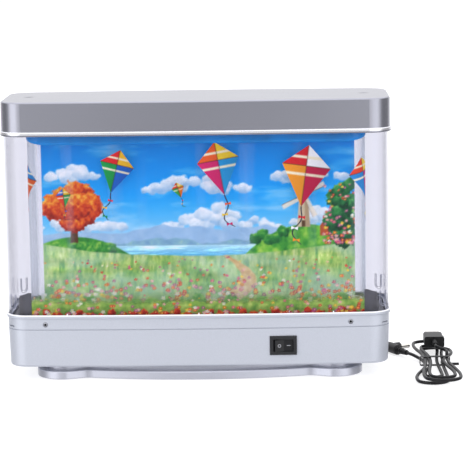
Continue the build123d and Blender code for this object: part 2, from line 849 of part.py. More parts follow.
def led_board():
    low = box_bottom + box_wall
    length = (led_count - 1) * led_pitch + led_size + 2 * led_board_margin
    return block(0, 0, low + led_board_thickness / 2, length, led_board_width, led_board_thickness)


def led_chips():
    low = box_bottom + box_wall + led_board_thickness
    first = -(led_count - 1) * led_pitch / 2
    chips = [block(first + index * led_pitch, 0, low + led_height / 2, led_size, led_size, led_height)
             for index in range(led_count)]
    return Compound(children=chips)


def rocker_pivot():
    return switch_x, switch_face() - switch_frame + rocker_pivot_depth


def switch_housing():
    face_y = switch_face()
    front = face_y - switch_frame
    frame = block(switch_x, (front + face_y) / 2, switch_z, switch_length, switch_frame, switch_height)
    frame = chamfer(frame.edges().group_by(Axis.Y)[0], switch_frame_edge)
    body_length = switch_body_depth - 0.5
    body = block(switch_x, face_y + body_length / 2 - 0.25, switch_z, switch_body_length, body_length + 0.5,
                 switch_body_height)
    well_length = 2 * (rocker_half_length + rocker_round + rocker_gap)
    well_height = rocker_height + 2 * rocker_gap
    well_y = front + switch_well_depth / 2 - 0.5
    pocket = block(switch_x, well_y, switch_z, well_length, switch_well_depth + 1, well_height)
    px, py = rocker_pivot()
    half_pin = well_height / 2 + switch_body_wall
    pin = pillar(px, py, rocker_pin_radius, switch_z - half_pin, switch_z + half_pin)
    return frame + body - pocket + pin


def switch_rocker():
    half = rocker_half_length
    heel = rocker_heel_half
    px, py = rocker_pivot()
    crown = Polyline((-half, -rocker_reach), (0, rocker_dip - rocker_reach), (half, -rocker_reach),
                     (half, rocker_side_depth), (heel, rocker_heel_depth), (-heel, rocker_heel_depth),
                     (-half, rocker_side_depth), close=True)
    profile = make_face(crown) & Circle(rocker_half_length + rocker_round)
    turn = Pos(px, py, switch_z - rocker_height / 2) * Rot(0, 0, rocker_angle)
    body = turn * extrude(profile, rocker_height)
    body = fillet(body.edges().filter_by(Axis.Z).group_by(Axis.Y)[0], 0.4)
    bore = rocker_pin_radius + running_gap
    return body - pillar(px, py, bore, switch_z - rocker_height, switch_z + rocker_height)


def switch_terminals():
    middle = switch_face() + switch_body_depth - 0.5 + terminal_length / 2
    places = (switch_x - terminal_pitch / 2, switch_x + terminal_pitch / 2)
    return Compound(children=[block(x, middle, switch_z, terminal_thickness, terminal_length, terminal_width)
                              for x in places])


def dc_jack():
    face = jack_face()
    flange = Pos(0, face + jack_flange / 2, 0) * jack_disc(jack_flange_radius, jack_flange)
    barrel = Pos(0, face - jack_depth / 2 + 0.2, 0) * jack_disc(jack_radius, jack_depth + 0.4)
    bore = Pos(0, face - jack_bore_depth / 2 + 2, 0) * jack_disc(jack_bore_radius, jack_bore_depth + 2)
    return flange + barrel - bore


def dc_jack_pin():
    root = jack_face() + 1 - jack_bore_depth
    pin = Pos(0, root + jack_pin_length / 2, 0) * jack_disc(jack_pin_radius, jack_pin_length)
    return chamfer(pin.edges().group_by(Axis.Y)[-1], jack_pin_radius / 3)


def unit(vector):
    return vector / vector.length


def biarc(start, start_way, end, end_way):
    gap = end - start
    ways = start_way + end_way
    spread = 2 * (1 - start_way.dot(end_way))
    if spread < 1e-6:
        reach = gap.dot(gap) / (4 * gap.dot(end_way))
    else:
        along = gap.dot(ways)
        reach = (math.sqrt(along ** 2 + spread * gap.dot(gap)) - along) / spread
    first_corner = start + start_way * reach
    second_corner = end - end_way * reach
    middle = (first_corner + second_corner) / 2
    way = unit(second_corner - first_corner)
    return [Edge.make_tangent_arc(start, start_way, middle), Edge.make_tangent_arc(middle, way, end)]


def waist_points():
    # the cable's eight runs through the waist: four below and four above them
    low = tie_thickness + 0.1 + cord_radius
    points = []
    for run in range(len(hank_turns) + 1):
        inward = run if run < 4 else 6 - run
        side = -1 if run % 2 == 0 else 1
        x = lead_x + side * (waist_half_width - inward * waist_step / 2)
        points.append(Vector(x, 0, low if run < 4 else low + layer_step))
    return points


def hank_path():
    runs = waist_points()
    up = Vector(0, 1, 0)
    start = plug_cord_point()
    way = plug_cord_way()
    here = start + way * 2 * cord_radius
    edges = [Edge.make_line(start, here)]
    for turn, (half_width, lean, reach) in enumerate(hank_turns):
        side = -1 if turn % 2 == 0 else 1
        heading = up * side
        sideways = Vector(-side, 0, 0)
        centre = Vector(lead_x + lean, side * reach, runs[4].Z if turn > 2 else runs[0].Z)
        edges += biarc(here, way, runs[turn], heading)
        edges += biarc(runs[turn], heading, centre - sideways * half_width, heading)
        apex = centre + heading * half_width
        edges += biarc(centre - sideways * half_width, heading, apex, sideways)
        here, way = centre + sideways * half_width, heading * -1
        edges += biarc(apex, sideways, here, way)
    edges += biarc(here, way, runs[-1], up)
    past_tie = runs[-1] + up * tie_width
    edges.append(Edge.make_line(runs[-1], past_tie))
    over = past_tie + Vector(0.5, 2 * layer_step, layer_step + 0.4)
    edges += biarc(past_tie, up, over, up)
    end = usb_cord_point()
    final = end - up * 2 * cord_radius
    edges += biarc(over, up, final, up)
    edges.append(Edge.make_line(final, end))
    return Wire(edges)


def plug_cord_way():
    angle = math.radians(plug_cord_angle)
    return Vector(math.cos(angle), math.sin(angle), 0)


def plug_cord_point():
    return Vector(lead_x, 0, 0) + Vector(*plug_cord_place)


def usb_cord_point():
    return Vector(lead_x, 0, 0) + Vector(*usb_cord_place)


def cord_hank(path):
    section = Plane(origin=path @ 0, z_dir=path % 0) * Circle(cord_radius)
    return sweep(section, path)


def cord_tie():
    half = waist_half_width + waist_step / 2 + cord_radius + fit_gap
    top = 2 * tie_thickness + 0.1 + 2 * cord_radius + layer_step + fit_gap
    outer = RectangleRounded(2 * (half + tie_thickness), top, tie_corner)
    inner = RectangleRounded(2 * half, top - 2 * tie_thickness, tie_corner - tie_thickness)
    band = Plane.XZ * (outer - inner)
    ring = Pos(lead_x, 0, top / 2) * extrude(band, tie_width / 2, both=True)
    twist = block(lead_x + half + tie_twist_length / 2, 0, tie_twist_width / 2 + 0.3, tie_twist_length,
                  tie_twist_width, tie_twist_width)
    return ring + twist


def cord_end_plane(start, way, along):
    return Plane(origin=start + way * along, z_dir=way)


def ribbed_relief(start, way, length, end_radius, ribs):
    # a cone round the cord, cut by grooves down to its thin end's radius
    relief = Solid.make_cone(relief_radius, end_radius, length, cord_end_plane(start, way, 0))
    pitch = (length - relief_root) / ribs
    for rib in range(ribs):
        plane = cord_end_plane(start, way, pitch * (rib + 0.5))
        relief -= extrude(plane * Circle(2 * end_radius) - plane * Circle(relief_radius), pitch * 0.45)
    return relief


def dc_plug_body():
    back = plug_cord_way() * -1
    start = plug_cord_point()
    relief = ribbed_relief(start, back, plug_relief_length, plug_relief_radius, plug_ribs)
    boot_plane = cord_end_plane(start, back, plug_relief_length)
    boot = extrude(boot_plane * Circle(plug_boot_radius), plug_boot_length)
    boot = chamfer(boot.edges(), plug_boot_edge)
    nose_plane = Plane(origin=plug_elbow(), z_dir=dc_barrel_way())
    return relief + boot + extrude(nose_plane * Circle(plug_nose_radius), plug_nose_length)


def plug_elbow():
    return plug_cord_point() - plug_cord_way() * plug_elbow_reach


def dc_barrel_way():
    way = plug_cord_way()
    return Vector(-way.Y, way.X, 0)


def dc_plug_barrel():
    plane = Plane(origin=plug_elbow() + dc_barrel_way() * plug_nose_length, z_dir=dc_barrel_way())
    bore = extrude(plane.offset(0.5) * Circle(barrel_bore_radius), barrel_length)
    return extrude(plane * Circle(barrel_radius), barrel_length) - bore


def usb_plug_body():
    start = usb_cord_point()
    relief = ribbed_relief(start, Vector(0, 1, 0), usb_relief_length, usb_relief_radius, usb_ribs)
    grip_y = start.Y + usb_relief_length + usb_grip_length / 2
    grip = block(start.X, grip_y, start.Z, usb_grip_width, usb_grip_length, usb_grip_height)
    grip = fillet(grip.edges().filter_by(Axis.Y), usb_grip_corner)
    collar_y = start.Y + usb_relief_length + usb_collar_length / 2
    collar = block(start.X, collar_y, start.Z, usb_grip_width + 2 * usb_collar_proud, usb_collar_length,
                   usb_grip_height + 2 * usb_collar_proud)
    collar = fillet(collar.edges().filter_by(Axis.Y), usb_grip_corner)
    return relief + grip + collar


def usb_shell_foot():
    return usb_cord_point().Y + usb_relief_length + usb_grip_length


def usb_plug_shell():
    x, z = usb_cord_point().X, usb_cord_point().Z
    middle = usb_shell_foot() + usb_shell_length / 2
    shell = block(x, middle, z, usb_shell_width, usb_shell_length, usb_shell_height)
    shell -= block(x, middle + 2 * usb_shell_wall, z, usb_shell_width - 2 * usb_shell_wall, usb_shell_length,
                   usb_shell_height - 2 * usb_shell_wall)
    for side in (-1, 1):
        window_x = x + side * usb_window_pitch / 2
        shell -= block(window_x, middle, z + usb_shell_height / 2, usb_window, usb_window, 4 * usb_shell_wall)
    return shell


def usb_contact_block():
    x, z = usb_cord_point().X, usb_cord_point().Z
    low = z - usb_shell_height / 2 + usb_shell_wall + 0.05
    length = usb_shell_length - 4 * usb_shell_wall
    return block(x, usb_shell_foot() + 2 * usb_shell_wall + length / 2, low + usb_block_height / 2,
                 usb_shell_width - 2 * usb_shell_wall - 2 * panel_gap, length, usb_block_height)


def build_parts():
    path = hank_path()
    parts = {
        "foot_stand": foot_stand(),
        "foot_pads": foot_pads(),
        "foot_screws": foot_screws(),
        "base_lower_shell": base_lower_shell(),
        "base_upper_rim": base_upper_rim(),
        "rim_screws": rim_screws(),
        "base_screws": base_screw_set(),
        "film_tray": film_tray(),
        "meadow_strip": meadow_strip(),
        "clear_window": clear_window(),
        "lid_cover": lid_cover(),
        "lid_screws": lid_screws(),
        "lid_inner_plate": lid_inner_plate(),
        "film_loop": film_loop(),
        "film_header_band": header_band(),
        "light_box_frame": light_box_frame(),
        "picture_front": picture_sheet(-1),
        "picture_rear": picture_sheet(1),
        "led_board": led_board(),
        "led_chips": led_chips(),
        "idler_axles": idler_axles(),
        "drive_shaft": drive_shaft(),
        "drive_gear": drive_gear(),
        "motor_pinion": motor_pinion(),
        "motor_shaft": motor_shaft(),
        "gear_motor": gear_motor(),
        "motor_screws": motor_screws(),
        "switch_housing": switch_housing(),
        "switch_rocker": switch_rocker(),
        "switch_terminals": switch_terminals(),
        "dc_jack": dc_jack(),
        "dc_jack_pin": dc_jack_pin(),
        "cord_hank": cord_hank(path),
        "cord_tie": cord_tie(),
        "dc_plug_body": dc_plug_body(),
        "dc_plug_barrel": dc_plug_barrel(),
        "usb_plug_body": usb_plug_body(),
        "usb_plug_shell": usb_plug_shell(),
        "usb_contact_block": usb_contact_block(),
    }
    names = ["idler_pulley_front_left", "idler_pulley_front_right", "idler_pulley_rear_right", "drive_pulley"]
    for name, (x, y) in zip(names, four_corners(roller_x, roller_y)):
        gap = press_gap if name == "drive_pulley" else running_gap
        parts[name] = pulley(x, y, shaft_radius + gap)
    return parts, path


def least_cord_gap(path):
    points = []
    for edge in path.edges():
        steps = max(2, round(edge.length))
        points += [edge.position_at(step / steps) for step in range(steps)]
    spots = [(p.X, p.Y, p.Z) for p in points]
    apart = round(10 * cord_radius)
    least = math.inf
    for index, spot in enumerate(spots[:-apart]):
        least = min(least, min(math.dist(spot, other) for other in spots[index + apart:]))
    return least - 2 * cord_radius


os.makedirs("parts", exist_ok=True)
all_parts, cord_path = build_parts()
for name, solid in all_parts.items():
    export_step(solid, f"parts/{name}.step")
print("cord length", round(cord_path.length, 1), "volume", round(all_parts["cord_hank"].volume, 1),
      "section times length", round(math.pi * cord_radius ** 2 * cord_path.length, 1))
arcs = [edge.radius for edge in cord_path.edges() if edge.geom_type == GeomType.CIRCLE]
print("arc radii", sorted(round(radius, 1) for radius in arcs))
print("least gap of the cord to itself", round(least_cord_gap(cord_path), 2))
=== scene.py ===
import json
import math
import random

import bmesh
import bpy
import numpy as np
from mathutils import Matrix, Vector


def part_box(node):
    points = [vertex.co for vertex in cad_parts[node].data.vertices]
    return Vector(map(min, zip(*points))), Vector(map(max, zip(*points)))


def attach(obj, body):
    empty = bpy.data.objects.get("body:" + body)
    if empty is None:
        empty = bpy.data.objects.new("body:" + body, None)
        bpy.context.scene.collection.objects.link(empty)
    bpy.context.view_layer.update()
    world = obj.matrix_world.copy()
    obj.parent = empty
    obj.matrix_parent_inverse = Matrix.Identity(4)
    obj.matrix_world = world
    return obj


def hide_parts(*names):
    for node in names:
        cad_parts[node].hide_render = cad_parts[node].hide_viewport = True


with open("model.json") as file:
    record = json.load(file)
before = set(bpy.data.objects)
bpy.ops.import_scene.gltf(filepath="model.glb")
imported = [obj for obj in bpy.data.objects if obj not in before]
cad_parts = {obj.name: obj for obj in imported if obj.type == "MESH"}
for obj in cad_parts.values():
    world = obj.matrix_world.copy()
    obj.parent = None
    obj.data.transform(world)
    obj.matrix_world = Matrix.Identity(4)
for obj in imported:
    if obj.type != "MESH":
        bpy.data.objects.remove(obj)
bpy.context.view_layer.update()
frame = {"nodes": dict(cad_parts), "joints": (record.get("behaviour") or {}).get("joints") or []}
nodes = frame["nodes"]
mm = 0.001
print("frame loaded:", len(nodes), "nodes")


# Camera: a long lens a little above the lamp, as in a shop photograph
cameraLook = {
    "place": (0.0625, -1.7464, 0.3778),   # metres
    "yaw": -0.019,                        # radians, turned to the right of straight ahead
    "pitchDown": 0.153,
    "roll": -0.015,
    "focalPixels": 2206.6,                # on a frame 470 pixels wide
    "frameWidth": 470,
    "sensor": 36.0,
}


def makeCamera(look):
    yaw = look["yaw"]
    pitch = look["pitchDown"]
    ahead = Vector((math.sin(yaw) * math.cos(pitch), math.cos(yaw) * math.cos(pitch), -math.sin(pitch)))
    level = Vector((math.cos(yaw), -math.sin(yaw), 0))
    upright = level.cross(ahead)
    right = math.cos(look["roll"]) * level + math.sin(look["roll"]) * upright
    up = -math.sin(look["roll"]) * level + math.cos(look["roll"]) * upright
    data = bpy.data.cameras.new("camera")
    data.sensor_width = look["sensor"]
    data.lens = look["focalPixels"] / look["frameWidth"] * look["sensor"]
    data.clip_start = 0.05
    data.clip_end = 50
    camera = bpy.data.objects.new("camera", data)
    bpy.context.scene.collection.objects.link(camera)
    turn = Matrix((right, up, -ahead)).transposed().to_4x4()
    camera.matrix_world = Matrix.Translation(Vector(look["place"])) @ turn
    bpy.context.scene.camera = camera
    return camera


makeCamera(cameraLook)
bpy.context.scene.view_settings.view_transform = "Standard"
bpy.context.scene.cycles.transparent_max_bounces = 24


# Small tools for colours, nodes and meshes
def hexColour(code):
    return np.array([int(code[i:i + 2], 16) / 255 for i in (0, 2, 4)])


def toLinear(colours):
    return np.where(colours <= 0.04045, colours / 12.92, ((colours + 0.055) / 1.055) ** 2.4)


def srgb(code):
    # sRGB hex to the linear values that Blender works in
    return (*toLinear(hexColour(code)).tolist(), 1.0)


def addNode(tree, kind, inputs=None, **settings):
    node = tree.nodes.new(kind)
    for name, value in settings.items():
        setattr(node, name, value)
    for name, value in (inputs or {}).items():
        if isinstance(value, bpy.types.NodeSocket):
            tree.links.new(value, node.inputs[name])
        else:
            node.inputs[name].default_value = value
    return node


def newMaterial(name):
    material = bpy.data.materials.new(name)
    material.use_nodes = True
    material.node_tree.nodes.clear()
    return material, material.node_tree


def closeMaterial(tree, shader):
    addNode(tree, "ShaderNodeOutputMaterial", {"Surface": shader})


def meshPiece(name, verts, faces, material, smooth=False):
    mesh = bpy.data.meshes.new(name)
    mesh.from_pydata([tuple(v) for v in verts], [], [tuple(f) for f in faces])
    mesh.validate()
    if material:
        mesh.materials.append(material)
    for polygon in mesh.polygons:
        polygon.use_smooth = smooth
    piece = bpy.data.objects.new(name, mesh)
    bpy.context.scene.collection.objects.link(piece)
    return piece


def gridFaces(rows, columns):
    corner = (np.arange(rows)[:, None] * (columns + 1) + np.arange(columns)[None, :]).ravel()
    return np.stack([corner, corner + 1, corner + columns + 2, corner + columns + 1], axis=1)


def fixNormals(piece):
    shape = bmesh.new()
    shape.from_mesh(piece.data)
    bmesh.ops.remove_doubles(shape, verts=shape.verts, dist=1e-7)
    bmesh.ops.recalc_face_normals(shape, faces=shape.faces)
    shape.to_mesh(piece.data)
    shape.free()


def closeSheet(piece, toBack):
    # gives an open sheet its edges and its back, whose points toBack moves into place
    shape = bmesh.new()
    shape.from_mesh(piece.data)
    rim = [e for e in shape.edges if e.is_boundary]
    made = bmesh.ops.extrude_edge_only(shape, edges=rim)["geom"]
    for vert in [g for g in made if isinstance(g, bmesh.types.BMVert)]:
        vert.co.y = toBack(vert.co.y)
    bmesh.ops.contextual_create(shape, geom=[e for e in shape.edges if e.is_boundary])
    bmesh.ops.recalc_face_normals(shape, faces=shape.faces)
    shape.to_mesh(piece.data)
    shape.free()


# Surfaces. Each dictionary holds what a user would change.
# Silver paint on moulded ABS: bright metal flake under a satin lacquer
silverCoat = {"grainMm": 0.9, "grain": 0.03, "bump": 0.03, "driftMm": 60, "duller": 0.025, "glossier": 0.015,
              "lacquer": 0.25, "lacquerRough": 0.22}
silverPaint = {
    # the bead band is a painted highlight on a node's bead, measured in from its top or bottom; pits are |x|, y
    # and radius of small recesses painted dark as shade and dust
    "lid": {"flake": "A3A4AE", "metal": 0.9, "rough": 0.25, "grain": 0.025, "bump": 0.02,
            "paintedBeadHighlight": ("lid_cover", "bottom", 1.4, 3.7, "F4F4F8"),
            "pits": [(129.7, 0, 1.1), (132.7, 0, 2.3), (135.7, 0, 1.1)]},
    "rim": {"flake": "BABEC8", "metal": 0.3, "rough": 0.42,
            "paintedBeadHighlight": ("base_upper_rim", "top", -0.2, 0.75, "F2F2F6")},
    "base": {"flake": "BABEC8", "metal": 0.3, "rough": 0.42},
    "stand": {"flake": "BCBEC9", "metal": 0.6, "rough": 0.34},
}
# colour of the painted shade in recesses
pitShadow = "17171A"


def darkPits(tree, place, colour, pits, other="Y"):
    # painted shade: small round recesses, the same left and right, are painted dark for the shadow and dust
    # inside them
    part = addNode(tree, "ShaderNodeSeparateXYZ", {0: place.outputs["Object"]})
    side = addNode(tree, "ShaderNodeMath", {0: part.outputs["X"]}, operation="ABSOLUTE")
    for out, level, radius in pits:
        off = addNode(tree, "ShaderNodeMath", {0: side.outputs[0], 1: out * mm}, operation="SUBTRACT")
        up = addNode(tree, "ShaderNodeMath", {0: part.outputs[other], 1: level * mm}, operation="SUBTRACT")
        flat = addNode(tree, "ShaderNodeCombineXYZ", {"X": off.outputs[0], "Y": up.outputs[0]})
        reach = addNode(tree, "ShaderNodeVectorMath", {0: flat.outputs[0]}, operation="LENGTH")
        inside = addNode(tree, "ShaderNodeMath", {
            0: reach.outputs["Value"], 1: radius * mm}, operation="LESS_THAN")
        mixed = addNode(tree, "ShaderNodeMix", {
            "Factor": inside.outputs[0], 6: colour, 7: srgb(pitShadow)}, data_type="RGBA")
        colour = mixed.outputs[2]
    return colour


def makeSilverPaint(name, own):
    look = {**silverCoat, **own}
    material, tree = newMaterial(name)
    place = addNode(tree, "ShaderNodeTexCoord")
    flakes = addNode(tree, "ShaderNodeTexNoise", {
        "Vector": place.outputs["Object"], "Scale": 1 / (look["grainMm"] * mm), "Detail": 2.0,
        "Roughness": 0.6})
    # handling marks and slow drifts of the spray coat, a few centimetres across
    drift = addNode(tree, "ShaderNodeTexNoise", {
        "Vector": place.outputs["Object"], "Scale": 1 / (look["driftMm"] * mm),
        "Detail": 1.0, "Roughness": 0.5})
    tint = addNode(tree, "ShaderNodeMapRange", {
        "Value": flakes.outputs["Fac"], "From Min": 0.3, "From Max": 0.7,
        "To Min": 1 - look["grain"], "To Max": 1 + look["grain"]})
    colour = addNode(tree, "ShaderNodeMix", {
        "Factor": 1.0, 6: srgb(look["flake"]), 7: tint.outputs["Result"]},
        data_type="RGBA", blend_type="MULTIPLY").outputs[2]
    if "paintedBeadHighlight" in look:
        # painted highlight: a band on the bead along the part's edge is painted brighter than the rest, where
        # it catches the light from above
        node, side, near, far, code = look["paintedBeadHighlight"]
        low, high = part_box(node)
        middle = (near + far) / 2 * mm
        level = low.z + middle if side == "bottom" else high.z - middle
        height = addNode(tree, "ShaderNodeSeparateXYZ", {0: place.outputs["Object"]})
        bead = addNode(tree, "ShaderNodeMath", {
            0: height.outputs["Z"], 1: level, 2: (far - near) / 2 * mm}, operation="COMPARE")
        colour = addNode(tree, "ShaderNodeMix", {
            "Factor": bead.outputs[0], 6: colour, 7: srgb(code)}, data_type="RGBA").outputs[2]
    # painted shade in the small recesses listed as pits
    if "pits" in look:
        colour = darkPits(tree, place, colour, look["pits"])
    rough = addNode(tree, "ShaderNodeMapRange", {
        "Value": drift.outputs["Fac"], "From Min": 0.15, "From Max": 0.85,
        "To Min": look["rough"] - look["glossier"], "To Max": look["rough"] + look["duller"]})
    bump = addNode(tree, "ShaderNodeBump", {
        "Height": flakes.outputs["Fac"], "Strength": look["bump"], "Distance": 0.05 * mm})
    shader = addNode(tree, "ShaderNodeBsdfPrincipled", {
        "Base Color": colour, "Metallic": look["metal"], "Roughness": rough.outputs["Result"],
        "Normal": bump.outputs["Normal"],
        "Coat Weight": look["lacquer"], "Coat Roughness": look["lacquerRough"]})
    closeMaterial(tree, shader.outputs[0])
    return material


# Moulded plastics and rubber: one flat colour with a spark-eroded grain and slightly uneven gloss
mouldedLooks = {
    "charcoalAbs": {"colour": "5B5B60", "rough": 0.36, "grainMm": 0.7, "bump": 0.25, "spread": 0.08},
    "whiteAbs": {"colour": "E9EAEC", "rough": 0.42, "grainMm": 0.6, "bump": 0.1, "spread": 0.04},
    "acetal": {"colour": "EDEBE2", "rough": 0.34, "grainMm": 0.5, "bump": 0.05, "spread": 0.03},
    "switchNylon": {"colour": "1A1B1E", "rough": 0.4, "grainMm": 0.45, "bump": 0.3, "spread": 0.1},
    "rockerAbs": {
        "colour": "101114", "rough": 0.36, "shine": 0.35, "grainMm": 0.5, "bump": 0.08, "spread": 0.06},
    "jackNylon": {"colour": "17181A", "rough": 0.4, "grainMm": 0.45, "bump": 0.2, "spread": 0.08},
    "pvcJacket": {"colour": "0D0D0F", "rough": 0.36, "shine": 0.3, "grainMm": 0.9, "bump": 0.12, "spread": 0.1},
    "pvcPlug": {"colour": "121214", "rough": 0.42, "shine": 0.35, "grainMm": 0.5, "bump": 0.25, "spread": 0.1},
    "tieCoat": {"colour": "0E0E10", "rough": 0.33, "shine": 0.35, "grainMm": 0.6, "bump": 0.15, "spread": 0.08},
    "padRubber": {"colour": "202022", "rough": 0.75, "grainMm": 0.5, "bump": 0.35, "spread": 0.12},
    "boardMask": {"colour": "1C6B35", "rough": 0.3, "grainMm": 0.8, "bump": 0.12, "spread": 0.1},
}
wearMm = 12           # width of the patches where use has dulled the plastic


def makeMoulded(name, look):
    material, tree = newMaterial(name)
    place = addNode(tree, "ShaderNodeTexCoord")
    grain = addNode(tree, "ShaderNodeTexNoise", {
        "Vector": place.outputs["Object"], "Scale": 1 / (look["grainMm"] * mm), "Detail": 3.0,
        "Roughness": 0.65})
    wear = addNode(tree, "ShaderNodeTexNoise", {
        "Vector": place.outputs["Object"], "Scale": 1 / (wearMm * mm), "Detail": 2.0})
    shade = addNode(tree, "ShaderNodeMapRange", {
        "Value": wear.outputs["Fac"], "From Min": 0.3, "From Max": 0.7,
        "To Min": 1 - look["spread"], "To Max": 1 + look["spread"]})
    colour = addNode(tree, "ShaderNodeMix", {
        "Factor": 1.0, 6: srgb(look["colour"]), 7: shade.outputs["Result"]},
        data_type="RGBA", blend_type="MULTIPLY")
    rough = addNode(tree, "ShaderNodeMapRange", {
        "Value": grain.outputs["Fac"], "From Min": 0.3, "From Max": 0.7,
        "To Min": look["rough"] - 0.05, "To Max": look["rough"] + 0.06})
    bump = addNode(tree, "ShaderNodeBump", {
        "Height": grain.outputs["Fac"], "Strength": look["bump"], "Distance": 0.05 * mm})
    shader = addNode(tree, "ShaderNodeBsdfPrincipled", {
        "Base Color": colour.outputs[2], "Roughness": rough.outputs["Result"],
        "Normal": bump.outputs["Normal"], "IOR": 1.5, "Specular IOR Level": look.get("shine", 0.5)})
    closeMaterial(tree, shader.outputs[0])
    return material


# Plated and turned metals: fine turning lines show as uneven gloss
metalLooks = {
    "zincSteel": {"colour": "B9BAC0", "rough": 0.3, "lineMm": 0.25},
    "nickelPlate": {"colour": "D9D6CF", "rough": 0.16, "lineMm": 0.3},
    "brassStrip": {"colour": "CBA45A", "rough": 0.24, "lineMm": 0.25},
}


def makeMetal(name, look):
    material, tree = newMaterial(name)
    place = addNode(tree, "ShaderNodeTexCoord")
    lines = addNode(tree, "ShaderNodeTexNoise", {
        "Vector": place.outputs["Object"], "Scale": 1 / (look["lineMm"] * mm), "Detail": 2.0})
    rough = addNode(tree, "ShaderNodeMapRange", {
        "Value": lines.outputs["Fac"], "From Min": 0.3, "From Max": 0.7,
        "To Min": look["rough"] - 0.05, "To Max": look["rough"] + 0.08})
    bump = addNode(tree, "ShaderNodeBump", {
        "Height": lines.outputs["Fac"], "Strength": 0.08, "Distance": 0.03 * mm})
    colour = addNode(tree, "ShaderNodeRGB").outputs[0]
    colour.default_value = srgb(look["colour"])
    # painted shade in the recesses listed as pits
    if "pits" in look:
        colour = darkPits(tree, place, colour, look["pits"], look["plane"])
    shader = addNode(tree, "ShaderNodeBsdfPrincipled", {
        "Base Color": colour, "Metallic": 1.0, "Roughness": rough.outputs["Result"],
        "Normal": bump.outputs["Normal"]})
    closeMaterial(tree, shader.outputs[0])
    return material


# Clear polystyrene window: almost no tint, sharp reflections, drawn as a thin wall that doesn't bend light
windowLook = {"tint": "F0F0F3", "mirror": 0.014, "edge": 0.6, "steepness": 4.5, "rough": 0.03, "flowMm": 45,
              "flow": 0.12, "flowDeepMm": 1.2}


def makeClearWall(name, look):
    material, tree = newMaterial(name)
    place = addNode(tree, "ShaderNodeTexCoord")
    flow = addNode(tree, "ShaderNodeTexNoise", {
        "Vector": place.outputs["Object"], "Scale": 1 / (look["flowMm"] * mm), "Detail": 1.0})
    bump = addNode(tree, "ShaderNodeBump", {
        "Height": flow.outputs["Fac"], "Strength": look["flow"], "Distance": look["flowDeepMm"] * mm})
    through = addNode(tree, "ShaderNodeBsdfTransparent", {"Color": srgb(look["tint"])})
    shine = addNode(tree, "ShaderNodeBsdfGlossy", {
        "Color": (1, 1, 1, 1), "Roughness": look["rough"], "Normal": bump.outputs["Normal"]})
    facing = addNode(tree, "ShaderNodeLayerWeight", {"Blend": 0.5, "Normal": bump.outputs["Normal"]})
    steep = addNode(tree, "ShaderNodeMath", {
        0: facing.outputs["Facing"], 1: look["steepness"]}, operation="POWER")
    share = addNode(tree, "ShaderNodeMapRange", {
        "Value": steep.outputs[0], "To Min": look["mirror"], "To Max": look["edge"]})
    both = addNode(tree, "ShaderNodeMixShader", {
        0: share.outputs["Result"], 1: through.outputs[0], 2: shine.outputs[0]})
    closeMaterial(tree, both.outputs[0])
    return material


# Printed polyester film: clear between the motifs, with a little haze and long vertical ripples
filmLook = {
    "tint": (0.985, 0.985, 0.99, 1), "clear": 0.995, "edge": 0.7, "steepness": 3.0,
    "haze": "E4F1FB", "rough": 0.09,
    # the noise is read at a small share of the height, which draws ripples and streaks out upright
    "rippleMm": 9.0, "rippleHeight": 0.06, "rippleDeepMm": 1.5, "ripple": 0.5,
    "streakMm": 16.0, "streakHeight": 0.02, "streakFrom": 0.52, "streakTo": 0.75, "streak": 0.11,
}


def makeClearFilm(name, look):
    material, tree = newMaterial(name)
    place = addNode(tree, "ShaderNodeTexCoord")
    tall = addNode(tree, "ShaderNodeMapping", {
        "Vector": place.outputs["Object"], "Scale": (1.0, 1.0, look["rippleHeight"])})
    ripple = addNode(tree, "ShaderNodeTexNoise", {
        "Vector": tall.outputs[0], "Scale": 1 / (look["rippleMm"] * mm), "Detail": 1.0})
    bump = addNode(tree, "ShaderNodeBump", {
        "Height": ripple.outputs["Fac"], "Strength": look["ripple"], "Distance": look["rippleDeepMm"] * mm})
    through = addNode(tree, "ShaderNodeBsdfTransparent", {"Color": look["tint"]})
    haze = addNode(tree, "ShaderNodeBsdfPrincipled", {
        "Base Color": srgb(look["haze"]), "Roughness": look["rough"], "Normal": bump.outputs["Normal"]})
    facing = addNode(tree, "ShaderNodeLayerWeight", {"Blend": 0.5, "Normal": bump.outputs["Normal"]})
    steep = addNode(tree, "ShaderNodeMath", {
        0: facing.outputs["Facing"], 1: look["steepness"]}, operation="POWER")
    share = addNode(tree, "ShaderNodeMapRange", {
        "Value": steep.outputs[0], "To Min": 1 - look["clear"], "To Max": look["edge"]})
    # upright pale streaks where the film's ripples catch the light
    bands = addNode(tree, "ShaderNodeMapping", {
        "Vector": place.outputs["Object"], "Scale": (1.0, 1.0, look["streakHeight"])})
    streaks = addNode(tree, "ShaderNodeTexNoise", {
        "Vector": bands.outputs[0], "Scale": 1 / (look["streakMm"] * mm), "Detail": 2.0})
    pale = addNode(tree, "ShaderNodeMapRange", {
        "Value": streaks.outputs["Fac"], "From Min": look["streakFrom"], "From Max": look["streakTo"],
        "To Min": 0.0, "To Max": look["streak"]})
    hazy = addNode(tree, "ShaderNodeMath", {
        0: share.outputs["Result"], 1: pale.outputs["Result"]}, operation="ADD")
    both = addNode(tree, "ShaderNodeMixShader", {
        0: hazy.outputs[0], 1: through.outputs[0], 2: haze.outputs[0]})
    closeMaterial(tree, both.outputs[0])
    return material


# Print on diffusing sheet, film or strip: colours come from the piece's own attribute, with the
# fine dots of the print, and a little painted light: the print glows as if lit by the lamps behind
printLooks = {
    "printedDiffuser": {"glow": 0.3, "rough": 0.5, "clears": False},
    "printedFilmInk": {"glow": 0.2, "rough": 0.25, "clears": False},
    "printedStrip": {"glow": 0.2, "rough": 0.25, "clears": True},
}
dotMm = 0.35          # width of a printed dot


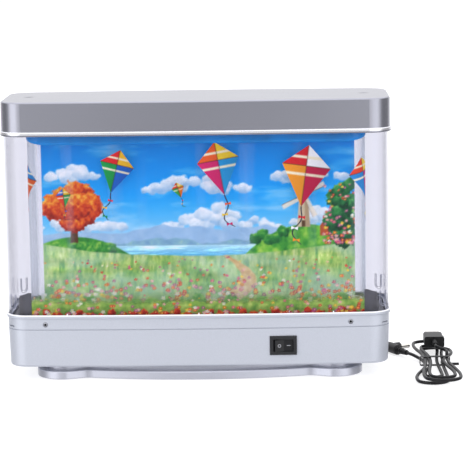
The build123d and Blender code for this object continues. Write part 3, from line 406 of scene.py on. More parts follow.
def makePrint(name, look):
    material, tree = newMaterial(name)
    place = addNode(tree, "ShaderNodeTexCoord")
    ink = addNode(tree, "ShaderNodeAttribute", attribute_name="ink")
    dots = addNode(tree, "ShaderNodeTexNoise", {
        "Vector": place.outputs["Object"], "Scale": 1 / (dotMm * mm), "Detail": 1.0})
    speckle = addNode(tree, "ShaderNodeMapRange", {
        "Value": dots.outputs["Fac"], "From Min": 0.3, "From Max": 0.7, "To Min": 0.93, "To Max": 1.07})
    colour = addNode(tree, "ShaderNodeMix", {
        "Factor": 1.0, 6: ink.outputs["Color"], 7: speckle.outputs["Result"]},
        data_type="RGBA", blend_type="MULTIPLY")
    # painted light: the print's own emission stands in for light from the lamps behind
    shader = addNode(tree, "ShaderNodeBsdfPrincipled", {
        "Base Color": colour.outputs[2], "Roughness": look["rough"], "Specular IOR Level": 0.1,
        "Emission Color": colour.outputs[2], "Emission Strength": look["glow"]})
    if look["clears"]:
        # thin ink lets the sheet show clear where the colour's alpha runs out
        bare = addNode(tree, "ShaderNodeBsdfTransparent", {"Color": (0.98, 0.98, 0.99, 1)})
        shader = addNode(tree, "ShaderNodeMixShader", {
            0: ink.outputs["Alpha"], 1: bare.outputs[0], 2: shader.outputs[0]})
    closeMaterial(tree, shader.outputs[0])
    return material


# Deep blue print of the film's header, darker towards its top, with painted light: it glows a little as if lit
# by the lamps behind
blueLook = {"low": "008EDE", "high": "005CA6", "patchMm": 25, "patch": 0.18, "rough": 0.22, "glow": 0.15}


def makeBlueBand(name, look):
    material, tree = newMaterial(name)
    place = addNode(tree, "ShaderNodeTexCoord")
    height = addNode(tree, "ShaderNodeSeparateXYZ", {0: place.outputs["Object"]})
    low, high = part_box("film_header_band")
    fade = addNode(tree, "ShaderNodeMapRange", {
        "Value": height.outputs["Z"], "From Min": low.z, "From Max": high.z * 0.985})
    blend = addNode(tree, "ShaderNodeValToRGB", {0: fade.outputs["Result"]})
    blend.color_ramp.elements[0].color = srgb(look["low"])
    blend.color_ramp.elements[1].color = srgb(look["high"])
    cloudy = addNode(tree, "ShaderNodeTexNoise", {
        "Vector": place.outputs["Object"], "Scale": 1 / (look["patchMm"] * mm), "Detail": 3.0})
    patch = addNode(tree, "ShaderNodeMapRange", {
        "Value": cloudy.outputs["Fac"], "From Min": 0.3, "From Max": 0.7,
        "To Min": 1 - look["patch"], "To Max": 1 + look["patch"]})
    colour = addNode(tree, "ShaderNodeMix", {
        "Factor": 1.0, 6: blend.outputs["Color"], 7: patch.outputs["Result"]},
        data_type="RGBA", blend_type="MULTIPLY")
    # painted light: the emission stands in for light from the lamps behind
    shader = addNode(tree, "ShaderNodeBsdfPrincipled", {
        "Base Color": colour.outputs[2], "Roughness": look["rough"],
        "Emission Color": colour.outputs[2], "Emission Strength": look["glow"]})
    closeMaterial(tree, shader.outputs[0])
    return material


silver = {part: makeSilverPaint("silverLacquer" + part.title(), look) for part, look in silverPaint.items()}
moulded = {name: makeMoulded(name, look) for name, look in mouldedLooks.items()}
metals = {name: makeMetal(name, look) for name, look in metalLooks.items()}
clearWall = makeClearWall("clearPolystyrene", windowLook)
clearFilm = makeClearFilm("clearPolyesterFilm", filmLook)
prints = {name: makePrint(name, look) for name, look in printLooks.items()}
blueBand = makeBlueBand("blueHeaderPrint", blueLook)

nodeFinish = {
    "lid_cover": silver["lid"], "base_lower_shell": silver["base"], "base_upper_rim": silver["rim"],
    "foot_stand": silver["stand"], "foot_pads": moulded["padRubber"], "film_tray": moulded["charcoalAbs"],
    "clear_window": clearWall, "film_loop": clearFilm, "film_header_band": blueBand,
    "light_box_frame": moulded["whiteAbs"], "lid_inner_plate": moulded["whiteAbs"],
    "led_board": moulded["boardMask"], "led_chips": moulded["acetal"],
    "drive_pulley": moulded["acetal"], "idler_pulley_front_left": moulded["acetal"],
    "idler_pulley_front_right": moulded["acetal"], "idler_pulley_rear_right": moulded["acetal"],
    "drive_gear": moulded["acetal"], "motor_pinion": metals["brassStrip"],
    "switch_terminals": metals["brassStrip"], "idler_axles": metals["zincSteel"],
    "drive_shaft": metals["zincSteel"], "motor_shaft": metals["zincSteel"],
    "gear_motor": metals["zincSteel"], "motor_screws": metals["zincSteel"],
    "base_screws": metals["zincSteel"], "foot_screws": metals["zincSteel"],
    "rim_screws": metals["zincSteel"], "lid_screws": metals["zincSteel"],
    "switch_housing": moulded["switchNylon"], "switch_rocker": moulded["rockerAbs"],
    "dc_jack": moulded["jackNylon"], "dc_jack_pin": metals["nickelPlate"],
    "dc_plug_barrel": metals["nickelPlate"], "usb_plug_shell": metals["nickelPlate"],
    "dc_plug_body": moulded["pvcPlug"], "usb_plug_body": moulded["pvcPlug"],
    "usb_contact_block": moulded["whiteAbs"], "cord_tie": moulded["tieCoat"],
}
for name, material in nodeFinish.items():
    data = nodes[name].data
    if data.materials:
        for index in range(len(data.materials)):
            data.materials[index] = material
    else:
        data.materials.append(material)
print("finishes on", len(nodeFinish), "nodes")


# The lead: a hank of seven turns in two layers, drawn in at the waist (millimetres)
leadLook = {
    "radius": 1.35, "x": 189.0, "waist": 8.0, "waistStep": 4.0, "tieThickness": 0.6, "tieWidth": 4.0,
    "layerStep": 3.4, "start": (-20.8, 29.0, 4.6), "startTurn": -62.0, "end": (2.4, 26.0, 11.6),
    # each turn in order: half width, lean to the right, reach from the waist
    "turns": [(12.2, -5.8, 62.0), (12.5, 4.0, 47.0), (6.5, -3.9, 46.0), (6.4, -1.8, 45.0),
              (9.8, 2.0, 60.0), (11.6, -2.4, 59.0), (14.2, 1.6, 66.0)],
}


def bendCorners(start, startWay, end, endWay):
    # the two corners that a pair of equal arcs rounds off between two headings
    gap = end - start
    ways = startWay + endWay
    spread = 2 * (1 - startWay.dot(endWay))
    if spread < 1e-6:
        reach = gap.dot(gap) / (4 * gap.dot(endWay))
    else:
        along = gap.dot(ways)
        reach = (math.sqrt(along ** 2 + spread * gap.dot(gap)) - along) / spread
    return [start + startWay * reach, end - endWay * reach]


def hankRoute(look):
    low = look["tieThickness"] + 0.1 + look["radius"]
    high = low + look["layerStep"]
    waist = []
    for run in range(len(look["turns"]) + 1):
        inward = run if run < 4 else 6 - run
        side = -1 if run % 2 == 0 else 1
        x = look["x"] + side * (look["waist"] - inward * look["waistStep"] / 2)
        waist.append(Vector((x, 0, low if run < 4 else high)))
    angle = math.radians(look["startTurn"])
    way = Vector((math.cos(angle), math.sin(angle), 0))
    up = Vector((0, 1, 0))
    middle = Vector((look["x"], 0, 0))
    start = Vector(look["start"]) + middle
    here = start + way * 2 * look["radius"]
    points = [start, here]
    for turn, (halfWidth, lean, reach) in enumerate(look["turns"]):
        side = -1 if turn % 2 == 0 else 1
        heading = up * side
        centre = Vector((look["x"] + lean, side * reach, high if turn > 2 else low))
        far = centre + Vector((side * halfWidth, 0, 0))
        points += bendCorners(here, way, waist[turn], heading) + bendCorners(waist[turn], heading, far, heading)
        # six corners round the turn, just outside the half circle that the curve follows
        for step in range(6):
            bend = math.radians(15 + 30 * step)
            out = halfWidth / math.cos(math.radians(15))
            points.append(centre + Vector((side * out * math.cos(bend), side * out * math.sin(bend), 0)))
        here, way = centre - Vector((side * halfWidth, 0, 0)), -heading
    end = Vector(look["end"]) + middle
    final = end - up * 2 * look["radius"]
    pastTie = waist[-1] + up * look["tieWidth"]
    over = pastTie + Vector((0.5, 2 * look["layerStep"], look["layerStep"] + 0.4))
    points += bendCorners(here, way, waist[-1], up) + [pastTie] + bendCorners(pastTie, up, over, up)
    points += bendCorners(over, up, final, up) + [final, end]
    return [p * mm for p in points]


def makeCordPiece(name, points, radius, material):
    curve = bpy.data.curves.new(name, "CURVE")
    curve.dimensions = "3D"
    spline = curve.splines.new("NURBS")
    spline.points.add(len(points) - 1)
    for point, place in zip(spline.points, points):
        point.co = (*place, 1)
    spline.order_u = 3
    spline.use_endpoint_u = True
    curve.bevel_depth = radius
    curve.bevel_resolution = 5
    curve.resolution_u = 6
    curve.use_fill_caps = True
    curve.materials.append(material)
    piece = bpy.data.objects.new(name, curve)
    bpy.context.scene.collection.objects.link(piece)
    return piece


leadPoints = hankRoute(leadLook)
lead = makeCordPiece("leadCable", leadPoints, leadLook["radius"] * mm, moulded["pvcJacket"])
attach(lead, "root")
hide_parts("cord_hank")
print("lead done")


# Painting tools: colours are worked out for a grid of points, in sRGB, then kept as linear values
noiseRepeat = 64      # cells
noiseFade = 0.55      # weight of each finer layer against the one before


def noiseField(across, up, cell, seed, octaves=4):
    # smooth noise between 0 and 1, whose widest bumps are as wide as the cell
    total = np.zeros_like(across)
    weight = 1.0
    whole = 0.0
    for octave in range(octaves):
        # each layer has its own lattice, shifted off the middle of the lamp
        maker = np.random.default_rng(seed + octave)
        lattice = maker.random((noiseRepeat, noiseRepeat))
        x = across / cell * 2 ** octave + 31.7
        y = up / cell * 2 ** octave + 17.3
        ix = np.floor(x).astype(int)
        iy = np.floor(y).astype(int)
        fx = x - ix
        fy = y - iy
        fx = fx * fx * (3 - 2 * fx)
        fy = fy * fy * (3 - 2 * fy)
        corner = [lattice[(ix + i) % noiseRepeat, (iy + j) % noiseRepeat] for i in (0, 1) for j in (0, 1)]
        low = corner[0] * (1 - fx) + corner[2] * fx
        high = corner[1] * (1 - fx) + corner[3] * fx
        total += (low * (1 - fy) + high * fy) * weight
        whole += weight
        weight *= noiseFade
    return total / whole


def lay(canvas, colour, mask):
    canvas += (np.asarray(colour) - canvas) * mask[:, None]


def edge(distance, width=0.8):
    return np.clip(0.5 - distance / width, 0, 1)


def ramp(value, stops):
    places = [stop[0] for stop in stops]
    colours = np.array([hexColour(stop[1]) for stop in stops])
    return np.stack([np.interp(value, places, colours[:, c]) for c in range(3)], axis=1)


def insideShape(across, up, corners):
    # distance to a closed outline, negative inside
    best = np.full(across.shape, 1e9)
    sign = np.ones(across.shape)
    count = len(corners)
    for i in range(count):
        ax, ay = corners[i]
        bx, by = corners[(i + 1) % count]
        ex, ey = bx - ax, by - ay
        t = np.clip(((across - ax) * ex + (up - ay) * ey) / (ex * ex + ey * ey), 0, 1)
        best = np.minimum(best, np.hypot(across - ax - t * ex, up - ay - t * ey))
        crosses = ((ay > up) != (by > up)) & (across < ax + (up - ay) * ex / (ey if ey else 1e-9))
        sign = np.where(crosses, -sign, sign)
    return best * sign


def paintClouds(canvas, across, up, look):
    wobble = noiseField(across, up, 5.0, 3) - 0.5
    for left, right, level, tall, seed in look["banks"]:
        maker = random.Random(seed)
        for puff in range(int((right - left) / look["puffStepMm"])):
            x = maker.uniform(left, right)
            share = 1 - abs(2 * (x - left) / (right - left) - 1)
            radius = maker.uniform(*look["puffMm"]) * (0.5 + share * 0.6)
            z = level + maker.uniform(0, tall) * share
            distance = np.hypot(across - x, (up - z) * 1.25) - radius + wobble * look["raggedMm"]
            shade = np.clip((up - z) / radius * 0.5 + 0.62 + wobble * 0.9, 0, 1)
            lay(canvas, ramp(shade, look["whites"]), edge(distance, look["softMm"]) * 0.96)


def paintRidge(canvas, across, up, level, rise, cell, seed, haze, colours):
    line = level + rise * (noiseField(across, across * 0, cell, seed) - 0.5) * 2
    depth = line - up
    tone = noiseField(across, up, cell * 0.14, seed + 9)
    colour = ramp(np.clip(tone * 1.2 - 0.1 - depth * 0.004, 0, 1), colours)
    colour = colour * (1 - haze) + hexColour(landscapeLook["airColour"]) * haze
    lay(canvas, colour, edge(-depth, 1.0))


def paintBlobs(canvas, across, up, places, colours, seed, rough=3.0):
    wobble = noiseField(across, up, 2.6, seed) - 0.5
    for x, z, radius in places:
        distance = np.hypot(across - x, up - z) - radius + wobble * rough
        light = np.clip(0.5 + ((up - z) - (across - x) * 0.4) / radius * 0.35 + wobble * 1.1, 0, 1)
        lay(canvas, ramp(light, colours), edge(distance, 0.9))


flowerLook = {"petals": ["E3222B", "F04A3A", "F2A5C0", "D93A86", "FFD23C", "FFFFFF", "F26A21", "B0459B"],
              "eye": "FFE36A", "eyeShare": 0.28, "waves": 5}


def paintFlowers(canvas, across, up, box, count, sizes, seed):
    look = flowerLook
    maker = random.Random(seed)
    for flower in range(count):
        x = maker.uniform(box[0], box[2])
        share = maker.random() ** 1.6
        z = box[1] + (box[3] - box[1]) * share
        radius = sizes[1] + (sizes[0] - sizes[1]) * share
        near = (abs(across - x) < 2 * radius) & (abs(up - z) < 2 * radius)
        if not near.any():
            continue
        dx, dz = across[near] - x, up[near] - z
        angle = np.arctan2(dz, dx) + maker.uniform(0, 3)
        distance = np.hypot(dx, dz * 1.2) - radius * (0.78 + 0.22 * np.cos(look["waves"] * angle))
        colour = hexColour(look["petals"][maker.randrange(len(look["petals"]))])
        patch = canvas[near]
        lay(patch, colour * maker.uniform(0.82, 1.05), edge(distance, 0.7))
        lay(patch, hexColour(look["eye"]), edge(np.hypot(dx, dz) - radius * look["eyeShare"], 0.5) * 0.9)
        canvas[near] = patch


def paintShape(canvas, across, up, corners, code, share=1.0):
    lay(canvas, hexColour(code), edge(insideShape(across, up, corners)) * share)


millLook = {"wall": "D9C7A4", "shade": "A98C66", "cap": "D8481F", "door": "5A3A22", "beam": "6B4A2F",
            "sail": "F6E9D2", "wideShare": 0.2, "sailShare": 0.72, "turn": 24}


def paintMill(canvas, across, up, x, z, tall):
    look = millLook
    wide = tall * look["wideShare"]
    cap = z + tall
    paintShape(canvas, across, up, [
        (x - wide, z), (x + wide, z), (x + wide * 0.62, cap), (x - wide * 0.62, cap)], look["wall"])
    paintShape(canvas, across, up, [
        (x + wide * 0.25, z), (x + wide, z), (x + wide * 0.62, cap), (x + wide * 0.15, cap)],
        look["shade"], 0.7)
    paintShape(canvas, across, up, [
        (x - wide * 0.8, cap), (x + wide * 0.8, cap), (x + wide * 0.3, cap + wide * 0.9),
        (x - wide * 0.3, cap + wide * 0.9)], look["cap"])
    paintShape(canvas, across, up, [
        (x - wide * 0.3, z), (x + wide * 0.25, z), (x + wide * 0.25, z + wide), (x - wide * 0.3, z + wide)],
        look["door"])
    hub = cap - wide * 0.2
    for turn in range(4):
        angle = math.radians(look["turn"] + 90 * turn)
        ax, az = math.cos(angle), math.sin(angle)
        reach = tall * look["sailShare"]
        paintShape(canvas, across, up, [
            (x, hub - 0.35), (x + ax * reach, hub + az * reach - 0.35),
            (x + ax * reach, hub + az * reach + 0.35), (x, hub + 0.35)], look["beam"])
        px, pz = -az, ax
        near = tall * 0.14
        paintShape(canvas, across, up, [
            (x + ax * near, hub + az * near), (x + ax * reach, hub + az * reach),
            (x + ax * reach + px * tall * 0.14, hub + az * reach + pz * tall * 0.14),
            (x + ax * near + px * tall * 0.1, hub + az * near + pz * tall * 0.1)], look["sail"], 0.92)


# outlines are in shares of the barn's width: walls, gable, roof, and one window that repeats
barnLook = {
    "parts": [("8C3B22", [(0, 0), (1, 0), (1, 0.42), (0, 0.42)]),
              ("B9532E", [(0, 0), (0.36, 0), (0.36, 0.42), (0.18, 0.68), (0, 0.42)]),
              ("E8642C", [(0.32, 0.4), (1.06, 0.4), (0.86, 0.74), (0.18, 0.74)])],
    "window": ("FFE08A", [(0, 0.12), (0.08, 0.12), (0.08, 0.28), (0, 0.28)]),
    "windowPlaces": (0.46, 0.64, 0.82),
}


def paintBarn(canvas, across, up, x, z, wide):
    shapes = [(x, code, outline) for code, outline in barnLook["parts"]]
    shapes += [(x + wide * place, *barnLook["window"]) for place in barnLook["windowPlaces"]]
    for left, code, outline in shapes:
        paintShape(canvas, across, up, [(left + wide * a, z + wide * b) for a, b in outline], code)


# The landscape on the two sheets, in millimetres of the lamp's own frame
landscapeLook = {
    "sky": [(104, "C2E6FA"), (122, "6CC8F8"), (146, "14A6F4"), (168, "0092E6"), (195, "007CCC")],
    "airColour": "BFE0F5",
    "clouds": {
        # each bank's left, right, level, height and seed
        "banks": [(-40, 42, 150, 12, 5), (58, 118, 158, 14, 8), (-118, -72, 160, 9, 12),
                  (-30, 64, 119, 16, 15), (72, 123, 122, 15, 23), (-122, -58, 120, 17, 31)],
        "puffStepMm": 3, "puffMm": (3.6, 8.0), "raggedMm": 5, "softMm": 1.6,
        "whites": [(0, "8FBBE0"), (0.35, "B9D5EA"), (0.7, "E2EDF4"), (1, "FFFFFF")]},
    # far ridges: level, rise, width of a hill, seed, haze and colours
    "ridges": [(116, 9, 42, 40, 0.45, [(0, "6E9BCB"), (1, "A6C6E6")]),
               (109, 6, 26, 44, 0.3, [(0, "5484B0"), (0.6, "74A9B8"), (1, "A0C8AC")])],
    "shore": 105.5,
    "sea": [(88, "3C97D4"), (98, "62BCE8"), (105, "B4E4F5")],
    # near hills: top, middle, curve and contrast
    "hills": [(121, 86, 0.010, 1.3), (113, -96, 0.008, 1.1)],
    "hillGreens": [(0, "1F6B2E"), (0.35, "3E9A36"), (0.65, "74BF3F"), (1, "B9DC5A")],
    "hedge": [(0, "14522B"), (0.6, "2E8B3A"), (1, "7CC34A")],
    # left or middle, foot and size
    "mill": (84, 119, 26),
    "barn": (97, 112, 19),
    "thicket": [(0, "17602E"), (0.6, "37983A"), (1, "9AD04E")],
    "thicketPlaces": [(119, 117, 8), (112, 112, 6), (123, 127, 6)],
    "trunk": "5B3920",
    "trunkOutline": [(-101, 90), (-93, 90), (-94.5, 132), (-98.5, 132)],
    "crown": [(0, "8E1E14"), (0.4, "D6421C"), (0.7, "F07A24"), (1, "FFC247")],
    "leftHedge": [(0, "1B5C2C"), (0.55, "3C9839"), (1, "A6D552")],
    "grass": [(0, "5C9A58"), (0.3, "7FB45A"), (0.6, "A6CA66"), (0.85, "C8DE7E"), (1, "E2EBA2")],
    "mist": "BCD8D2",
    "path": [(0, "C79A62"), (1, "F2DCA8")],
    "bush": [(0, "0D3F26"), (0.45, "1F6E3A"), (0.8, "3E9A4A"), (1, "79C267")],
    "foreground": [(0, "14522B"), (0.5, "2E8B3A"), (1, "8CCB4C")],
    # beds of flowers: left, foot, right and top; how many; smallest and largest; seed
    "bushFlowers": ((100, 106, 126, 158), 90, (1.1, 1.8), 104),
    "meadowFlowers": ((-124, 56, 124, 96), 340, (0.7, 2.6), 97),
    "nearFlowers": ((-124, 55, 124, 76), 190, (1.4, 2.6), 101),
    # painted light: a pale wash painted just above the lamps
    "lampGlow": "DCE9E4", "lampGlowTop": 86, "lampGlowFade": 20, "lampGlowShare": 0.3,
}


def paintLandscape(across, up, mirrored, look):
    x = -across if mirrored else across
    canvas = ramp(up, look["sky"])
    streaks = noiseField(x, up * 4, 40.0, 21) - 0.5
    lay(canvas, hexColour("FFFFFF"), np.clip(streaks * 1.6 - 0.15, 0, 0.35))
    paintClouds(canvas, x, up, look["clouds"])
    for ridge in look["ridges"]:
        paintRidge(canvas, x, up, *ridge)
    glint = noiseField(x * 0.25, up * 3.0, 5.0, 60)
    sea = ramp(up, look["sea"])
    sea += np.clip(glint - 0.55, 0, 1)[:, None] * 1.2
    lay(canvas, np.clip(sea, 0, 1), edge(up - look["shore"], 0.8))
    tone = noiseField(x, up, 6.0, 70)
    for top, middle, curve, contrast in look["hills"]:
        hill = top - curve * (x - middle) ** 2
        lay(canvas, ramp(np.clip(tone * contrast - 0.15, 0, 1), look["hillGreens"]), edge(up - hill, 1.0))
    hedge = [(46 + 5.5 * i, 110 + 3 * math.sin(i * 1.9) + i * 0.6, 4.5) for i in range(5)]
    paintBlobs(canvas, x, up, hedge, look["hedge"], 71)
    paintMill(canvas, x, up, *look["mill"])
    paintBarn(canvas, x, up, *look["barn"])
    paintBlobs(canvas, x, up, look["thicketPlaces"], look["thicket"], 76)
    paintShape(canvas, x, up, look["trunkOutline"], look["trunk"])
    crown = [(-96 + 20 * math.cos(i * 2.4) * (i % 5) / 5,
              137 + 17 * math.sin(i * 2.4) * (i % 4) / 4, 11 - (i % 4)) for i in range(22)]
    paintBlobs(canvas, x, up, crown, look["crown"], 80, 5.0)
    leftHedge = [(-118 + 7 * i, 103 + 2 * math.sin(i * 2.2), 5) for i in range(8)]
    paintBlobs(canvas, x, up, leftHedge, look["leftHedge"], 84)
    meadow = 97 + 2.5 * (noiseField(x, x * 0, 30, 90) - 0.5) + 0.0007 * x ** 2
    blades = noiseField(x * 2.2, up * 0.7, 5.0, 92)
    grass = ramp(np.clip(blades * 1.5 - 0.3 + (up - 80) * 0.006, 0, 1), look["grass"])
    swell = noiseField(x * 0.6, up * 2.2, 14.0, 94)
    grass = grass * (0.8 + 0.4 * swell)[:, None]
    # morning mist low over the grass
    mist = np.clip((noiseField(x * 0.5, up, 16.0, 98) - 0.35) * 1.6, 0, 0.5)
    grass += (hexColour(look["mist"]) - grass) * mist[:, None]
    ground = edge(up - meadow, 1.0)
    lay(canvas, np.clip(grass, 0, 1), ground)
    bend = 18 * np.sin((up - 60) * 0.085) + 22
    width = 2.0 + (97 - up) * 0.22
    path = np.abs(x - bend) - width + 2.2 * (noiseField(x, up, 4, 95) - 0.5)
    lay(canvas, ramp(noiseField(x, up, 3, 96), look["path"]), edge(path, 1.2) * ground)
    bush = [(115 + 9 * math.cos(i * 2.4) * (i % 5) / 5, 112 + 3.1 * i + 3 * math.sin(i * 2.4), 10 - i * 0.35)
            for i in range(14)]
    paintBlobs(canvas, x, up, bush, look["bush"], 103, 5.0)
    paintFlowers(canvas, x, up, *look["bushFlowers"])
    paintFlowers(canvas, x, up, *look["meadowFlowers"])
    foreground = [(-124 + 12.5 * i, 58 + 3 * math.sin(i * 2.7), 6) for i in range(21)]
    paintBlobs(canvas, x, up, foreground, look["foreground"], 99)
    paintFlowers(canvas, x, up, *look["nearFlowers"])
    # painted light: the sheet is painted paler just above its lamps
    glow = np.clip((look["lampGlowTop"] - up) / look["lampGlowFade"], 0, 1)
    lay(canvas, hexColour(look["lampGlow"]), glow * look["lampGlowShare"])
    return np.clip(canvas, 0, 1)


def setInk(mesh, colours, alpha=1.0):
    layer = mesh.color_attributes.new("ink", "FLOAT_COLOR", "POINT")
    values = np.ones((len(mesh.vertices), 4), np.float32)
    values[:, :3] = toLinear(colours)
    values[:, 3] = alpha
    layer.data.foreach_set("color", values.ravel())


sheetLook = {"frontCellMm": 0.75, "rearCellMm": 1.1, "marginMm": 2.6, "margin": "ECECF3", "marginSoftMm": 0.7}


def printedSheet(name, node, cell, front, mirrored, look):
    # a closed sheet, as thick as the CAD one, with a fine grid of ink points on its shown side
    low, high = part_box(node)
    columns = round((high.x - low.x) / (cell * mm))
    rows = round((high.z - low.z) / (cell * mm))
    shown, back = (low.y, high.y) if front else (high.y, low.y)
    xs = np.linspace(low.x, high.x, columns + 1)
    zs = np.linspace(low.z, high.z, rows + 1)
    gridX, gridZ = np.meshgrid(xs, zs)
    verts = np.stack([gridX.ravel(), np.full(gridX.size, shown), gridZ.ravel()], axis=1)
    faces = gridFaces(rows, columns)
    if not front:
        faces = faces[:, ::-1]
    piece = meshPiece(name, verts, faces.tolist(), prints["printedDiffuser"])
    colours = paintLandscape(gridX.ravel() / mm, gridZ.ravel() / mm, mirrored, landscapeLook)
    if front:
        # an unprinted margin along the left edge
        inset = gridX.ravel() / mm - low.x / mm
        lay(colours, hexColour(look["margin"]), edge(inset - look["marginMm"], look["marginSoftMm"]))
    setInk(piece.data, colours)
    closeSheet(piece, lambda y: back)
    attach(piece, "root")
    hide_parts(node)


printedSheet("pictureFrontPrint", "picture_front", sheetLook["frontCellMm"], True, False, sheetLook)
printedSheet("pictureRearPrint", "picture_rear", sheetLook["rearCellMm"], False, True, sheetLook)
print("pictures painted")


# Translucent strip in the mouth of the tray: dark red and orange blooms over leaves
stripLook = {
    "columns": 420, "rows": 30, "ink": 0.92,
    "leaves": [(0, "5C9440"), (0.4, "85B14C"), (0.75, "AFCB62"), (1, "D6DD82")],
    "blooms": [(0, "6A0F10"), (0.45, "B3231B"), (0.75, "E2502A"), (1, "FFA04A")],
    "flowers": ((-130, 51, 130, 68), 170, (1.0, 2.1), 155),
    "raggedFromMm": 60.5, "raggedMm": 5.0, "fadeMm": 4.0,
}


def printedStrip(look):
    low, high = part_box("meadow_strip")
    ends = [v.co.y for v in nodes["meadow_strip"].data.vertices if v.co.x < low.x + 0.0005]
    thick = round(max(ends), 6) - round(min(ends), 6)
    xs = np.linspace(low.x, high.x, look["columns"] + 1)
    zs = np.linspace(low.z, high.z, look["rows"] + 1)
    # the strip bows forwards between its ends
    bow = np.polyfit([low.x, 0.0, high.x], [round(min(ends), 6), low.y, round(min(ends), 6)], 2)
    gridX, gridZ = np.meshgrid(xs, zs)
    verts = np.stack([gridX.ravel(), np.polyval(bow, gridX).ravel(), gridZ.ravel()], axis=1)
    faces = gridFaces(look["rows"], look["columns"])
    piece = meshPiece("meadowStripPrint", verts, faces.tolist(), prints["printedStrip"])
    across, up = gridX.ravel() / mm, gridZ.ravel() / mm
    canvas = ramp(np.clip(noiseField(across, up, 4.0, 150) * 1.4 - 0.2, 0, 1), look["leaves"])
    canvas *= np.clip(0.72 + (up - 50) * 0.03, 0.7, 1.0)[:, None]
    blooms = [(-128 + 8.6 * i, 52 + 1.8 * math.sin(i * 2.1), 2.2 + (i % 3)) for i in range(31)]
    paintBlobs(canvas, across, up, blooms, look["blooms"], 152, 4.0)
    paintFlowers(canvas, across, up, *look["flowers"])
    # the ink ends in a ragged edge, above which only red blooms still cover
    ragged = up - look["raggedFromMm"] + look["raggedMm"] * (noiseField(across, up, 7.0, 158) - 0.5)
    red = edge(0.7 - 6 * (canvas[:, 0] - canvas[:, 1]), 1.0)
    thin = np.clip(1.0 - ragged / look["fadeMm"], 0.0, 1.0)
    setInk(piece.data, np.clip(canvas, 0, 1), (thin + (1 - thin) * red) * look["ink"])
    closeSheet(piece, lambda y: y + thick)
    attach(piece, "root")
    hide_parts("meadow_strip")


printedStrip(stripLook)
print("strip painted")


# Places on the film loop
def filmLengths():
    # half its straight front, half its straight side and its corner's radius, in millimetres
    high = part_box("film_loop")[1]
    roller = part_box("drive_pulley")
    corner = high.x / mm - abs(roller[0].x + roller[1].x) / 2 / mm
    return high.x / mm - corner, high.y / mm - corner, corner


def filmPlace(along, out):
    # point on the rounded loop, counted from the middle of its front towards +X
    flat, side, corner = filmLengths()
    bend = corner * math.pi / 2
    lengths = [flat, bend, 2 * side, bend, 2 * flat, bend, 2 * side, bend, flat]
    along = np.mod(along, sum(lengths))
    x = np.zeros_like(along)
    y = np.zeros_like(along)
    corners = [(flat, -side, -90), (flat, side, 0), (-flat, side, 90), (-flat, -side, 180)]
    ways = [(1, 0, 0, -1), (0, 1, 1, 0), (-1, 0, 0, 1), (0, -1, -1, 0), (1, 0, 0, -1)]
    origins = [(0, -side), (flat, -side), (flat, side), (-flat, side), (-flat, -side)]
    begin = 0.0
    reach = corner + out
    for index, length in enumerate(lengths):
        here = (along >= begin) & (along <= begin + length)
        step = along[here] - begin
        if index % 2:
            cx, cy, turn = corners[index // 2]
            angle = np.radians(turn + 90 * step / length)
            x[here], y[here] = cx + reach * np.cos(angle), cy + reach * np.sin(angle)
        else:
            way, origin = ways[index // 2], origins[index // 2]
            x[here] = origin[0] + way[0] * step + way[2] * reach
            y[here] = origin[1] + way[1] * step + way[3] * reach
        begin += length
    return x, y


# Header band: a thin printed collar, cut in a rising curve at its four corners
bandLook = {"thickMm": 0.4, "riseMm": 4.6, "riseCurve": 1.35, "riseEarlyMm": 2, "stepMm": 1.5, "rows": 6}


def makeHeaderBand(look):
    flat, side, corner = filmLengths()
    bend = corner * math.pi / 2
    low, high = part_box("film_header_band")
    proud = high.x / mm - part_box("film_loop")[1].x / mm
    total = 4 * (flat + side + bend)
    count = int(total / look["stepMm"])
    along = np.arange(count) * total / count
    # 0 along the long sides, 1 round the ends
    front = np.abs(np.mod(along + total / 4, total / 2) - total / 4)
    share = np.clip((front - flat + look["riseEarlyMm"]) / (bend + look["riseEarlyMm"]), 0, 1)
    lower = low.z / mm + look["riseMm"] * share ** look["riseCurve"]
    verts = []
    for out in (proud, proud - look["thickMm"]):
        x, y = filmPlace(along, out)
        for row in range(look["rows"] + 1):
            z = lower + (high.z / mm - lower) * row / look["rows"]
            verts.append(np.stack([x, y, z], axis=1))
    faces = []
    for layer in range(2):
        base = layer * (look["rows"] + 1) * count
        for row in range(look["rows"]):
            for i in range(count):
                j = (i + 1) % count
                a, b = base + row * count, base + (row + 1) * count
                quad = (a + i, a + j, b + j, b + i)
                faces.append(quad if layer == 0 else quad[::-1])
    inner = (look["rows"] + 1) * count
    top = look["rows"] * count
    for i in range(count):
        j = (i + 1) % count
        faces.append((j, i, inner + i, inner + j))
        faces.append((top + i, top + j, inner + top + j, inner + top + i))
    piece = meshPiece("headerBandPrint", np.concatenate(verts) * mm, faces, blueBand, smooth=True)
    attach(piece, "root")
    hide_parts("film_header_band")


makeHeaderBand(bandLook)


# Clips moulded on the rim, whose white tips show above the bead
clipLook = {"places": (-102.5, 1.0, 106.5), "wide": 1.3, "tall": 1.2, "sunk": 1.2, "deep": 0.9, "taper": 0.6,
            "clear": 0.15, "windowBow": 4.4}


